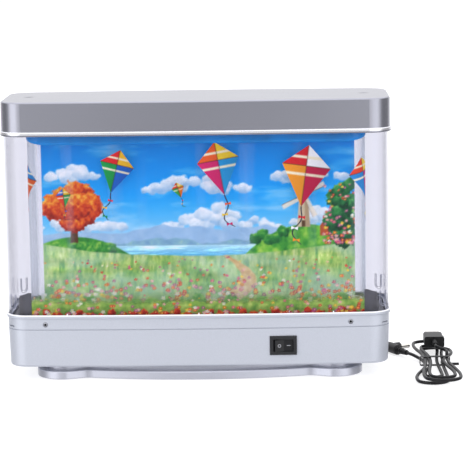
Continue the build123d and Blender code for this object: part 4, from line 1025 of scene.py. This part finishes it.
def makeRimClips(look):
    low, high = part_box("base_upper_rim")
    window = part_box("clear_window")
    halfLength, halfDepth = window[1].x / mm, window[1].y / mm
    verts, faces = [], []
    for x in look["places"]:
        # the window's front stands back a little towards its ends
        behind = -halfDepth + look["windowBow"] * (x / halfLength) ** 2 - look["clear"]
        half, deep = look["wide"] / 2, look["deep"]
        tip, tipDeep = half * look["taper"], deep * 0.5
        foot, top = high.z / mm - look["sunk"], high.z / mm + look["tall"]
        shape = [(-half, -deep, foot), (half, -deep, foot), (half, 0, foot), (-half, 0, foot),
                 (-tip, -tipDeep, top), (tip, -tipDeep, top), (tip, 0, top), (-tip, 0, top)]
        base = len(verts)
        verts += [Vector((x + dx, behind + dy, z)) * mm for dx, dy, z in shape]
        faces += [tuple(base + i for i in face) for face in (
            (3, 2, 1, 0), (4, 5, 6, 7), (0, 1, 5, 4), (1, 2, 6, 5), (2, 3, 7, 6), (3, 0, 4, 7))]
    piece = meshPiece("rimClips", verts, faces, moulded["whiteAbs"])
    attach(piece, "root")


makeRimClips(clipLook)


# Cut edges of the window's snap tongues: saw-cut polystyrene is matt and grey beside the clear wall
tongueLook = {"corner": (134.5, 26.7), "radius": 16.0, "halfWide": 2.5, "slot": 0.9, "tall": 12.0, "lift": 6.0,
              "lineMm": 0.35, "proudMm": 0.03, "deepMm": 0.3,
              "finish": {"colour": "A6A9B7", "rough": 0.5, "grainMm": 0.3, "bump": 0.2, "spread": 0.06}}


def makeTongueEdges(look):
    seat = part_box("clear_window")[0].z / mm
    verts, faces = [], []
    arc = [math.radians(180 + 15 * step) for step in range(13)]
    for sideX in (-1, 1):
        for sideY in (-1, 1):
            turn = math.atan2(sideY, sideX)
            for half, low in ((look["halfWide"], look["slot"]), (look["halfWide"] + look["slot"], 0.0)):
                # an edge runs down one side of the tongue, round its foot and up the other side
                sign = -1 if low else 1
                bands = []
                for reach in (half, half + sign * look["lineMm"]):
                    middle = seat + look["lift"] + low + half
                    rounds = [(reach * math.cos(a), middle + reach * math.sin(a)) for a in arc]
                    top = seat + look["lift"] + look["tall"]
                    bands.append([(-reach, top)] + rounds + [(reach, top)])
                count = len(bands[0])
                base = len(verts)
                for out in (look["proudMm"], -look["deepMm"]):
                    for band in bands:
                        for across, z in band:
                            radius = look["radius"] + out
                            angle = turn + math.asin(across / look["radius"])
                            verts.append(Vector((sideX * look["corner"][0] + radius * math.cos(angle),
                                                 sideY * look["corner"][1] + radius * math.sin(angle), z)) * mm)
                a, b, c, d = (base + count * k for k in range(4))
                for i in range(count - 1):
                    faces += [(a + i, a + i + 1, b + i + 1, b + i), (c + i, d + i, d + i + 1, c + i + 1),
                              (a + i, c + i, c + i + 1, a + i + 1), (b + i, b + i + 1, d + i + 1, d + i)]
                last = count - 1
                faces += [(a, b, d, c), (a + last, c + last, d + last, b + last)]
    piece = meshPiece("tongueEdges", verts, faces, makeMoulded("cutPolystyrene", look["finish"]))
    fixNormals(piece)
    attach(piece, "root")


makeTongueEdges(tongueLook)
print("band, clips and tongues done")


# Kites printed on the film: four painted panels, a spine and a tail with bows, as thin inked sheets
kiteLook = {
    "proudMm": 0.1, "thickMm": 0.06, "layerMm": 0.02, "cellsEachMm": 1.2,
    # height as a share of the width, then shares of the height, counted from the kite's middle
    "tallShare": 1.28, "topShare": 0.42, "crossShare": 0.08, "footShare": 0.58, "tailShare": 0.62,
    "stripe": "FFF3D0", "stripePlace": 0.14, "stripeHalf": 0.022,
    "spar": "3A2A22", "sparHalfMm": 0.25,
    "tail": "3B3B46", "tailSteps": 36, "bows": 3, "bowShare": 0.07,
    # place along the film from the middle of its front, height, width, tilt and colours
    "kites": [
        (-62, 168, 27, -14, ("E5262B", "FFC52E", "1B9B4B", "1F66C8")),
        (18, 170, 33, 10, ("F0602B", "F8D23A", "D42A6B", "2A9BD8")),
        (86, 164, 38, -8, ("D9232E", "FFFFFF", "F29A2E", "C81F4A")),
        (-14, 151, 10, 18, ("E23A2E", "FFD34A", "3FA04A", "F27A24")),
        (-104, 146, 12, 6, ("3D6FD0", "FFCF3F", "E8452E", "46A85A")),
        (-137, 158, 24, -8, ("D9232E", "2E8BD0", "1F9BC4", "E8642E")),
        (133, 160, 26, 12, ("E8452E", "F9D64A", "2E8BD0", "C4308A")),
        (245, 170, 30, -10, ("D9232E", "FFC52E", "2A9BD8", "46A85A")),
        (320, 158, 24, 12, ("F0602B", "FFFFFF", "1B9B4B", "D42A6B")),
        (400, 172, 34, -6, ("1F66C8", "F8D23A", "E5262B", "F29A2E")),
    ],
}


def kiteSheets(look, along, height, width, tilt, colours):
    # flat patches in film coordinates, each with its own grid, colours and faces
    turn = math.radians(tilt)
    tall = width * look["tallShare"]
    # heights of the top, of the corners at the sides and of the foot
    top, cross, foot = tall * look["topShare"], tall * look["crossShare"], -tall * look["footShare"]
    cells = max(10, int(width * look["cellsEachMm"]))
    u, v = np.meshgrid(np.linspace(0, 1, cells + 1), np.linspace(0, 1, cells + 1))
    u, v = u.ravel(), v.ravel()
    px = width / 2 * u * (1 - v) - width / 2 * (1 - u) * v
    pz = top * (1 - u) * (1 - v) + cross * u * (1 - v) + foot * u * v + cross * (1 - u) * v
    canvas = np.zeros((len(px), 3)) + hexColour(colours[0])
    lay(canvas, hexColour(colours[1]), (px > 0).astype(float))
    lay(canvas, hexColour(colours[2]), ((px <= 0) & (pz < cross)).astype(float))
    lay(canvas, hexColour(colours[3]), ((px > 0) & (pz < cross)).astype(float))
    band = np.abs(pz - cross) / tall
    lay(canvas, hexColour(look["stripe"]), edge(np.abs(band - look["stripePlace"]) - look["stripeHalf"], 0.02))
    toSpar = np.minimum(np.abs(px), np.abs(pz - cross))
    lay(canvas, hexColour(look["spar"]), edge(toSpar - look["sparHalfMm"], 0.5) * 0.8)
    shade = 1.06 - 0.22 * np.clip(px / width + 0.5, 0, 1)
    patches = [(px, pz, np.clip(canvas * shade[:, None], 0, 1), gridFaces(cells, cells))]
    # tail: a thin wave with its bows
    steps = look["tailSteps"]
    t = np.linspace(0, 1, steps + 1)
    tx = width * 0.16 * np.sin(t * 7.0) * t
    tz = foot - t * tall * look["tailShare"]
    half = 0.022 * width * 0.5 + 0.12
    patches.append((np.concatenate([tx - half, tx + half]), np.concatenate([tz, tz]),
                    np.tile(hexColour(look["tail"]), (2 * (steps + 1), 1)), gridFaces(1, steps)))
    bow = width * look["bowShare"]
    for index in range(look["bows"]):
        place = int(steps * (index + 1) / 3.3)
        for side in (-1, 1):
            bx = tx[place] + np.array([0, side * bow, 0, side * bow])
            bz = tz[place] + np.array([-bow * 0.1, -bow * 0.55, bow * 0.1, bow * 0.55])
            patches.append((bx, bz, np.tile(hexColour(colours[index]), (4, 1)), gridFaces(1, 1)))
    placed = []
    for px, pz, ink, faces in patches:
        fx = px * math.cos(turn) - pz * math.sin(turn)
        fz = px * math.sin(turn) + pz * math.cos(turn)
        placed.append((along + fx, height + fz, ink, faces))
    return placed


def makeKites(look):
    verts, faces, inks = [], [], []
    count = 0
    for kite in look["kites"]:
        for index, (px, pz, ink, cells) in enumerate(kiteSheets(look, *kite)):
            out = look["proudMm"] + look["layerMm"] * index
            for depth in (out + look["thickMm"], out):
                x, y = filmPlace(np.asarray(px, float), depth)
                verts.append(np.stack([x, y, pz], axis=1) * mm)
                inks.append(ink)
            # turn the faces outwards
            ring, ahead = cells[0], np.roll(cells[0], -1)
            if np.sum(px[ring] * pz[ahead] - px[ahead] * pz[ring]) < 0:
                cells = cells[:, ::-1]
            near = cells + count
            far = cells[:, ::-1] + count + len(px)
            edges = {(face[i], face[(i + 1) % 4]): True for face in near.tolist() for i in range(4)}
            sides = [(b, a, a + len(px), b + len(px)) for a, b in edges if (b, a) not in edges]
            faces += near.tolist() + far.tolist() + sides
            count += 2 * len(px)
    piece = meshPiece("kitePrints", np.concatenate(verts), faces, prints["printedFilmInk"])
    setInk(piece.data, np.concatenate(inks))
    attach(piece, "root")


makeKites(kiteLook)
print("kites done")


# Screws: pan heads with a cross recess, placed by Geometry Nodes where the CAD screws are
screwSets = [
    {"name": "rimScrewHeads", "node": "rim_screws", "axis": 1, "head": 1.8, "tall": 1.0,
     "shank": 1.0, "pit": 0.9},
    {"name": "lidScrewHeads", "node": "lid_screws", "axis": 2, "up": 1, "head": 2.1, "tall": 1.0,
     "shank": 1.1, "pit": 1.0},
    {"name": "footScrewHeads", "node": "foot_screws", "axis": 2, "up": -1, "head": 2.8, "tall": 2.0,
     "shank": 1.25},
    {"name": "caseScrewHeads", "node": "base_screws", "axis": 2, "up": -1, "head": 2.8, "tall": 2.4,
     "shank": 1.45},
    {"name": "motorScrewHeads", "node": "motor_screws", "axis": 2, "up": -1, "head": 2.2, "tall": 1.4,
     "shank": 1.15},
]
# shares of the head's radius or height
headShape = {"rim": 0.55, "crown": 0.45, "crownRadius": 0.72, "armLong": 1.25, "armWide": 0.26,
             "headSides": 32, "shankSides": 20}
screwsApart = 9       # two points further apart than this in plan lie on different screws


def makeScrewTree(shape):
    tree = bpy.data.node_groups.new("recessedScrews", "GeometryNodeTree")
    tree.interface.new_socket(name="Geometry", in_out="INPUT", socket_type="NodeSocketGeometry")
    for name in ("Head Radius", "Head Height", "Shank Radius", "Shank Length"):
        tree.interface.new_socket(name=name, in_out="INPUT", socket_type="NodeSocketFloat")
    tree.interface.new_socket(name="Finish", in_out="INPUT", socket_type="NodeSocketMaterial")
    tree.interface.new_socket(name="Geometry", in_out="OUTPUT", socket_type="NodeSocketGeometry")
    given = addNode(tree, "NodeGroupInput").outputs
    radius, tall = given["Head Radius"], given["Head Height"]

    def times(value, factor):
        return addNode(tree, "ShaderNodeMath", {0: value, 1: factor}, operation="MULTIPLY").outputs[0]

    def moved(solid, **places):
        offset = addNode(tree, "ShaderNodeCombineXYZ", places)
        return addNode(tree, "GeometryNodeTransform", {"Geometry": solid, "Translation": offset.outputs[0]})

    def joined(node, socket, solids):
        for solid in solids:
            tree.links.new(solid, node.inputs[socket])
        return node.outputs[0]

    rimTall = times(tall, shape["rim"])
    rim = addNode(tree, "GeometryNodeMeshCone", {
        "Vertices": shape["headSides"], "Radius Top": radius, "Radius Bottom": radius, "Depth": rimTall})
    crown = addNode(tree, "GeometryNodeMeshCone", {
        "Vertices": shape["headSides"], "Radius Top": times(radius, shape["crownRadius"]),
        "Radius Bottom": radius, "Depth": times(tall, shape["crown"])})
    crownUp = moved(crown.outputs["Mesh"], Z=rimTall)
    head = joined(addNode(tree, "GeometryNodeMeshBoolean", operation="UNION", solver="EXACT"), "Mesh 2",
                  [rim.outputs["Mesh"], crownUp.outputs[0]])
    # the recess is two crossed bars
    size = addNode(tree, "ShaderNodeCombineXYZ", {
        "X": times(radius, shape["armLong"]), "Y": times(radius, shape["armWide"]), "Z": tall})
    bar = addNode(tree, "GeometryNodeMeshCube", {"Size": size.outputs[0]})
    first = moved(bar.outputs["Mesh"], Z=tall)
    second = addNode(tree, "GeometryNodeTransform", {
        "Geometry": first.outputs[0], "Rotation": (0, 0, math.pi / 2)})
    cut = addNode(tree, "GeometryNodeMeshBoolean", {"Mesh 1": head}, operation="DIFFERENCE", solver="EXACT")
    joined(cut, "Mesh 2", [first.outputs[0], second.outputs[0]])
    shank = addNode(tree, "GeometryNodeMeshCone", {
        "Vertices": shape["shankSides"], "Radius Top": given["Shank Radius"],
        "Radius Bottom": given["Shank Radius"], "Depth": given["Shank Length"]})
    shankDown = moved(shank.outputs["Mesh"], Z=times(given["Shank Length"], -1.0))
    screw = joined(addNode(tree, "GeometryNodeJoinGeometry"), 0, [cut.outputs["Mesh"], shankDown.outputs[0]])
    turn = addNode(tree, "GeometryNodeInputNamedAttribute", {"Name": "turn"}, data_type="FLOAT_VECTOR")
    spread = addNode(tree, "GeometryNodeInstanceOnPoints", {
        "Points": given["Geometry"], "Instance": screw, "Rotation": turn.outputs["Attribute"]})
    real = addNode(tree, "GeometryNodeRealizeInstances", {"Geometry": spread.outputs["Instances"]})
    painted = addNode(tree, "GeometryNodeSetMaterial", {
        "Geometry": real.outputs["Geometry"], "Material": given["Finish"]})
    addNode(tree, "NodeGroupOutput", {"Geometry": painted.outputs["Geometry"]})
    return tree


def separateBoxes(node, apart):
    # boxes round the separate solids of a CAD node, told apart by their distance in plan
    boxes = []
    for vert in nodes[node].data.vertices:
        for box in boxes:
            middle = (box[0] + box[1]) / 2
            if math.hypot(vert.co.x - middle.x, vert.co.y - middle.y) < apart:
                for axis in range(3):
                    box[0][axis] = min(box[0][axis], vert.co[axis])
                    box[1][axis] = max(box[1][axis], vert.co[axis])
                break
        else:
            boxes.append([vert.co.copy(), vert.co.copy()])
    return boxes


def bakeTree(name, tree, places, turns, values):
    # runs the node tree on a few points and keeps the result as a plain mesh
    points = bpy.data.meshes.new(name + "Places")
    points.from_pydata(places, [], [])
    turned = points.attributes.new("turn", "FLOAT_VECTOR", "POINT")
    turned.data.foreach_set("vector", [v for turn in turns for v in turn])
    maker = bpy.data.objects.new(name + "Maker", points)
    bpy.context.scene.collection.objects.link(maker)
    modifier = maker.modifiers.new("nodes", "NODES")
    modifier.node_group = tree
    for item in tree.interface.items_tree:
        if item.in_out == "INPUT" and item.name in values:
            modifier[item.identifier] = values[item.name]
    depsgraph = bpy.context.evaluated_depsgraph_get()
    mesh = bpy.data.meshes.new_from_object(maker.evaluated_get(depsgraph), depsgraph=depsgraph)
    bpy.data.objects.remove(maker)
    piece = bpy.data.objects.new(name, mesh)
    bpy.context.scene.collection.objects.link(piece)
    return piece


def makeScrews():
    tree = makeScrewTree(headShape)
    for look in screwSets:
        places, turns = [], []
        axis = look["axis"]
        for low, high in separateBoxes(look["node"], screwsApart * mm):
            middle = (low + high) / 2
            outward = look.get("up") or (1 if middle[axis] > 0 else -1)
            middle[axis] = (high if outward > 0 else low)[axis] - outward * look["tall"] * mm
            places.append(middle)
            tilt = math.radians(-90 * outward) if axis == 1 else (0 if outward > 0 else math.pi)
            turns.append((tilt, 0, 0))
            length = (high - low)[axis] - look["tall"] * mm
        finish = metals["zincSteel"]
        if "pit" in look:
            # painted shade: the recess of a screw that shows is painted dark inside
            pits = [(abs(places[0].x) / mm, places[0][3 - axis] / mm if axis == 1 else 0, look["pit"])]
            finish = makeMetal(look["name"] + "Zinc", {
                **metalLooks["zincSteel"], "pits": pits, "plane": "Z" if axis == 1 else "Y"})
        piece = bakeTree(look["name"], tree, places, turns, {
            "Head Radius": look["head"] * mm, "Head Height": look["tall"] * mm,
            "Shank Radius": look["shank"] * mm, "Shank Length": length,
            "Finish": finish})
        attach(piece, "root")
        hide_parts(look["node"])


makeScrews()
print("screws done")


# Marks on the rocker: a ring and a bar, printed on its two faces
markLook = {
    "ringMm": 1.35, "barMm": 2.9, "lineMm": 0.45, "thickMm": 0.08, "proudMm": 0.02, "ringSides": 40,
    # half the rocker's length, its faces' reach from the pivot, their dip and the rocker's turn at rest
    "rocker": 7.4, "reach": 3.2, "dip": 1.1, "rest": 11.0,
    "finish": {"colour": "A4A5AA", "rough": 0.5, "grainMm": 0.4, "bump": 0.1, "spread": 0.04},
}


def makeRockerMarks(look):
    joint = next(j for j in frame["joints"] if j["name"] == "switch_rock")
    pivot = Vector(joint["pos_m"])
    slope = math.atan2(look["dip"], look["rocker"])
    verts, faces = [], []
    for side in (-1, 1):
        face = Matrix.Rotation(math.radians(look["rest"]), 4, "Z") @ Matrix.Rotation(-side * slope, 4, "Z")
        centre = Vector((side * look["rocker"] / 2, -look["reach"] + look["dip"] / 2, 0))
        centre = Matrix.Rotation(math.radians(look["rest"]), 4, "Z") @ centre
        if side < 0:
            angles = [2 * math.pi * i / look["ringSides"] for i in range(look["ringSides"])]
            outline = [[(r * math.cos(angle), r * math.sin(angle)) for angle in angles]
                       for r in (look["ringMm"], look["ringMm"] - look["lineMm"])]
        else:
            half, line = look["barMm"] / 2, look["lineMm"] / 2
            outline = [[(-half, -line), (half, -line), (half, line), (-half, line)]]
        base = len(verts)
        for depth in (look["proudMm"], look["proudMm"] + look["thickMm"]):
            for ring in outline:
                for x, z in ring:
                    place = face @ Vector((x, -depth, z)) + centre
                    verts.append(place * mm + pivot)
        count = len(outline[0])
        rings = len(outline)
        layer = count * rings
        for i in range(count):
            j = (i + 1) % count
            if rings == 2:
                for ring in ((layer + i, layer + j, layer + count + j, layer + count + i),
                             (j, i, count + i, count + j),
                             (count + i, count + layer + i, count + layer + j, count + j)):
                    faces.append(tuple(base + corner for corner in ring))
            faces.append((base + i, base + j, base + layer + j, base + layer + i))
        if rings == 1:
            faces.append(tuple(base + layer + i for i in range(count)))
            faces.append(tuple(base + i for i in reversed(range(count))))
    piece = meshPiece("rockerMarks", verts, faces, makeMoulded("markInk", look["finish"]))
    fixNormals(piece)
    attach(piece, "rocker")


makeRockerMarks(markLook)


# Stage: pale floor, a studio all round for the gloss, and two soft lamps
stageLook = {"floor": "A9A9AC", "floorSize": 6.0, "glow": 0.74}
studioLook = {
    # brightness all round: 0 and 1 are straight behind, a quarter is left, a half is straight in front
    "round": [(0.0, 1.0), (0.11, 0.95), (0.155, 0.36), (0.22, 0.24), (0.275, 0.4), (0.33, 2.0), (0.40, 2.0),
              (0.445, 0.85), (0.475, 0.6), (0.5, 0.46), (0.527, 0.72), (0.56, 1.5), (0.645, 1.8),
              (0.715, 0.26), (0.85, 0.30), (0.885, 0.95), (1.0, 1.0)],
    # heights between which the next light takes over, and that light
    "layers": [(0.25, 0.6, (1.5, 1.5, 1.54, 1)), (0.82, 0.93, (1.7, 1.7, 1.74, 1)),
               (-0.3, -0.55, (0.62, 0.62, 0.66, 1))],
    "backdrop": 1.05,
}
lampLooks = [
    {"name": "topSoftbox", "place": (0.0, -0.3, 1.6), "aim": (0, 0, 0.1), "size": (1.6, 1.2), "power": 2},
    {"name": "frontFill", "place": (0.2, -2.4, 0.9), "aim": (0, 0, 0.12), "size": (1.6, 1.0), "power": 1.5},
]


def makeStage(look):
    size = look["floorSize"]
    material, tree = newMaterial("paleFloor")
    place = addNode(tree, "ShaderNodeTexCoord")
    cloudy = addNode(tree, "ShaderNodeTexNoise", {"Vector": place.outputs["Object"], "Scale": 2.0})
    rough = addNode(tree, "ShaderNodeMapRange", {
        "Value": cloudy.outputs["Fac"], "To Min": 0.75, "To Max": 0.85})
    shader = addNode(tree, "ShaderNodeBsdfPrincipled", {
        "Base Color": srgb(look["floor"]), "Roughness": rough.outputs["Result"],
        "Emission Color": (1, 1, 1, 1), "Emission Strength": look["glow"]})
    closeMaterial(tree, shader.outputs[0])
    corners = [(-size, -size, 0), (size, -size, 0), (size, size, 0), (-size, size, 0)]
    floor = meshPiece("floor", corners, [(0, 1, 2, 3)], material)
    floor.visible_glossy = False


def makeStudio(look):
    # light by direction: pale behind, bright boxes front left and right, dark sides, bright above
    world = bpy.data.worlds.new("studio")
    bpy.context.scene.world = world
    world.use_nodes = True
    tree = world.node_tree
    tree.nodes.clear()
    place = addNode(tree, "ShaderNodeTexCoord")
    way = addNode(tree, "ShaderNodeSeparateXYZ", {0: place.outputs["Generated"]})
    forward = addNode(tree, "ShaderNodeMath", {0: way.outputs["Y"], 1: -1.0}, operation="MULTIPLY")
    turn = addNode(tree, "ShaderNodeMath", {0: way.outputs["X"], 1: forward.outputs[0]}, operation="ARCTAN2")
    share = addNode(tree, "ShaderNodeMapRange", {
        "Value": turn.outputs[0], "From Min": -math.pi, "From Max": math.pi})
    allRound = addNode(tree, "ShaderNodeValToRGB", {0: share.outputs["Result"]})
    points = allRound.color_ramp.elements
    while len(points) < len(look["round"]):
        points.new(0.5)
    for point, (where, value) in zip(points, look["round"]):
        point.position = where
        point.color = (value, value, value * 1.02, 1)
    light = allRound.outputs["Color"]
    for start, full, colour in look["layers"]:
        rising = (start, full, 0.0, 1.0) if start < full else (full, start, 1.0, 0.0)
        taken = addNode(tree, "ShaderNodeMapRange", {
            "Value": way.outputs["Z"], "From Min": rising[0], "From Max": rising[1],
            "To Min": rising[2], "To Max": rising[3]})
        light = addNode(tree, "ShaderNodeMix", {
            "Factor": taken.outputs["Result"], 6: light, 7: colour}, data_type="RGBA").outputs[2]
    studio = addNode(tree, "ShaderNodeBackground", {"Color": light, "Strength": 1.0})
    plain = addNode(tree, "ShaderNodeBackground", {"Color": (1, 1, 1, 1), "Strength": look["backdrop"]})
    ray = addNode(tree, "ShaderNodeLightPath")
    both = addNode(tree, "ShaderNodeMixShader", {
        0: ray.outputs["Is Camera Ray"], 1: studio.outputs[0], 2: plain.outputs[0]})
    addNode(tree, "ShaderNodeOutputWorld", {"Surface": both.outputs[0]})


def makeLamp(look):
    data = bpy.data.lights.new(look["name"], "AREA")
    data.shape = "RECTANGLE"
    data.size, data.size_y = look["size"]
    data.energy = look["power"]
    lamp = bpy.data.objects.new(look["name"], data)
    bpy.context.scene.collection.objects.link(lamp)
    lamp.location = look["place"]
    lamp.rotation_euler = (Vector(look["aim"]) - Vector(look["place"])).to_track_quat("-Z", "Y").to_euler()
    lamp.visible_glossy = False


makeStage(stageLook)
makeStudio(studioLook)
for lampLook in lampLooks:
    makeLamp(lampLook)
print("stage and studio done")
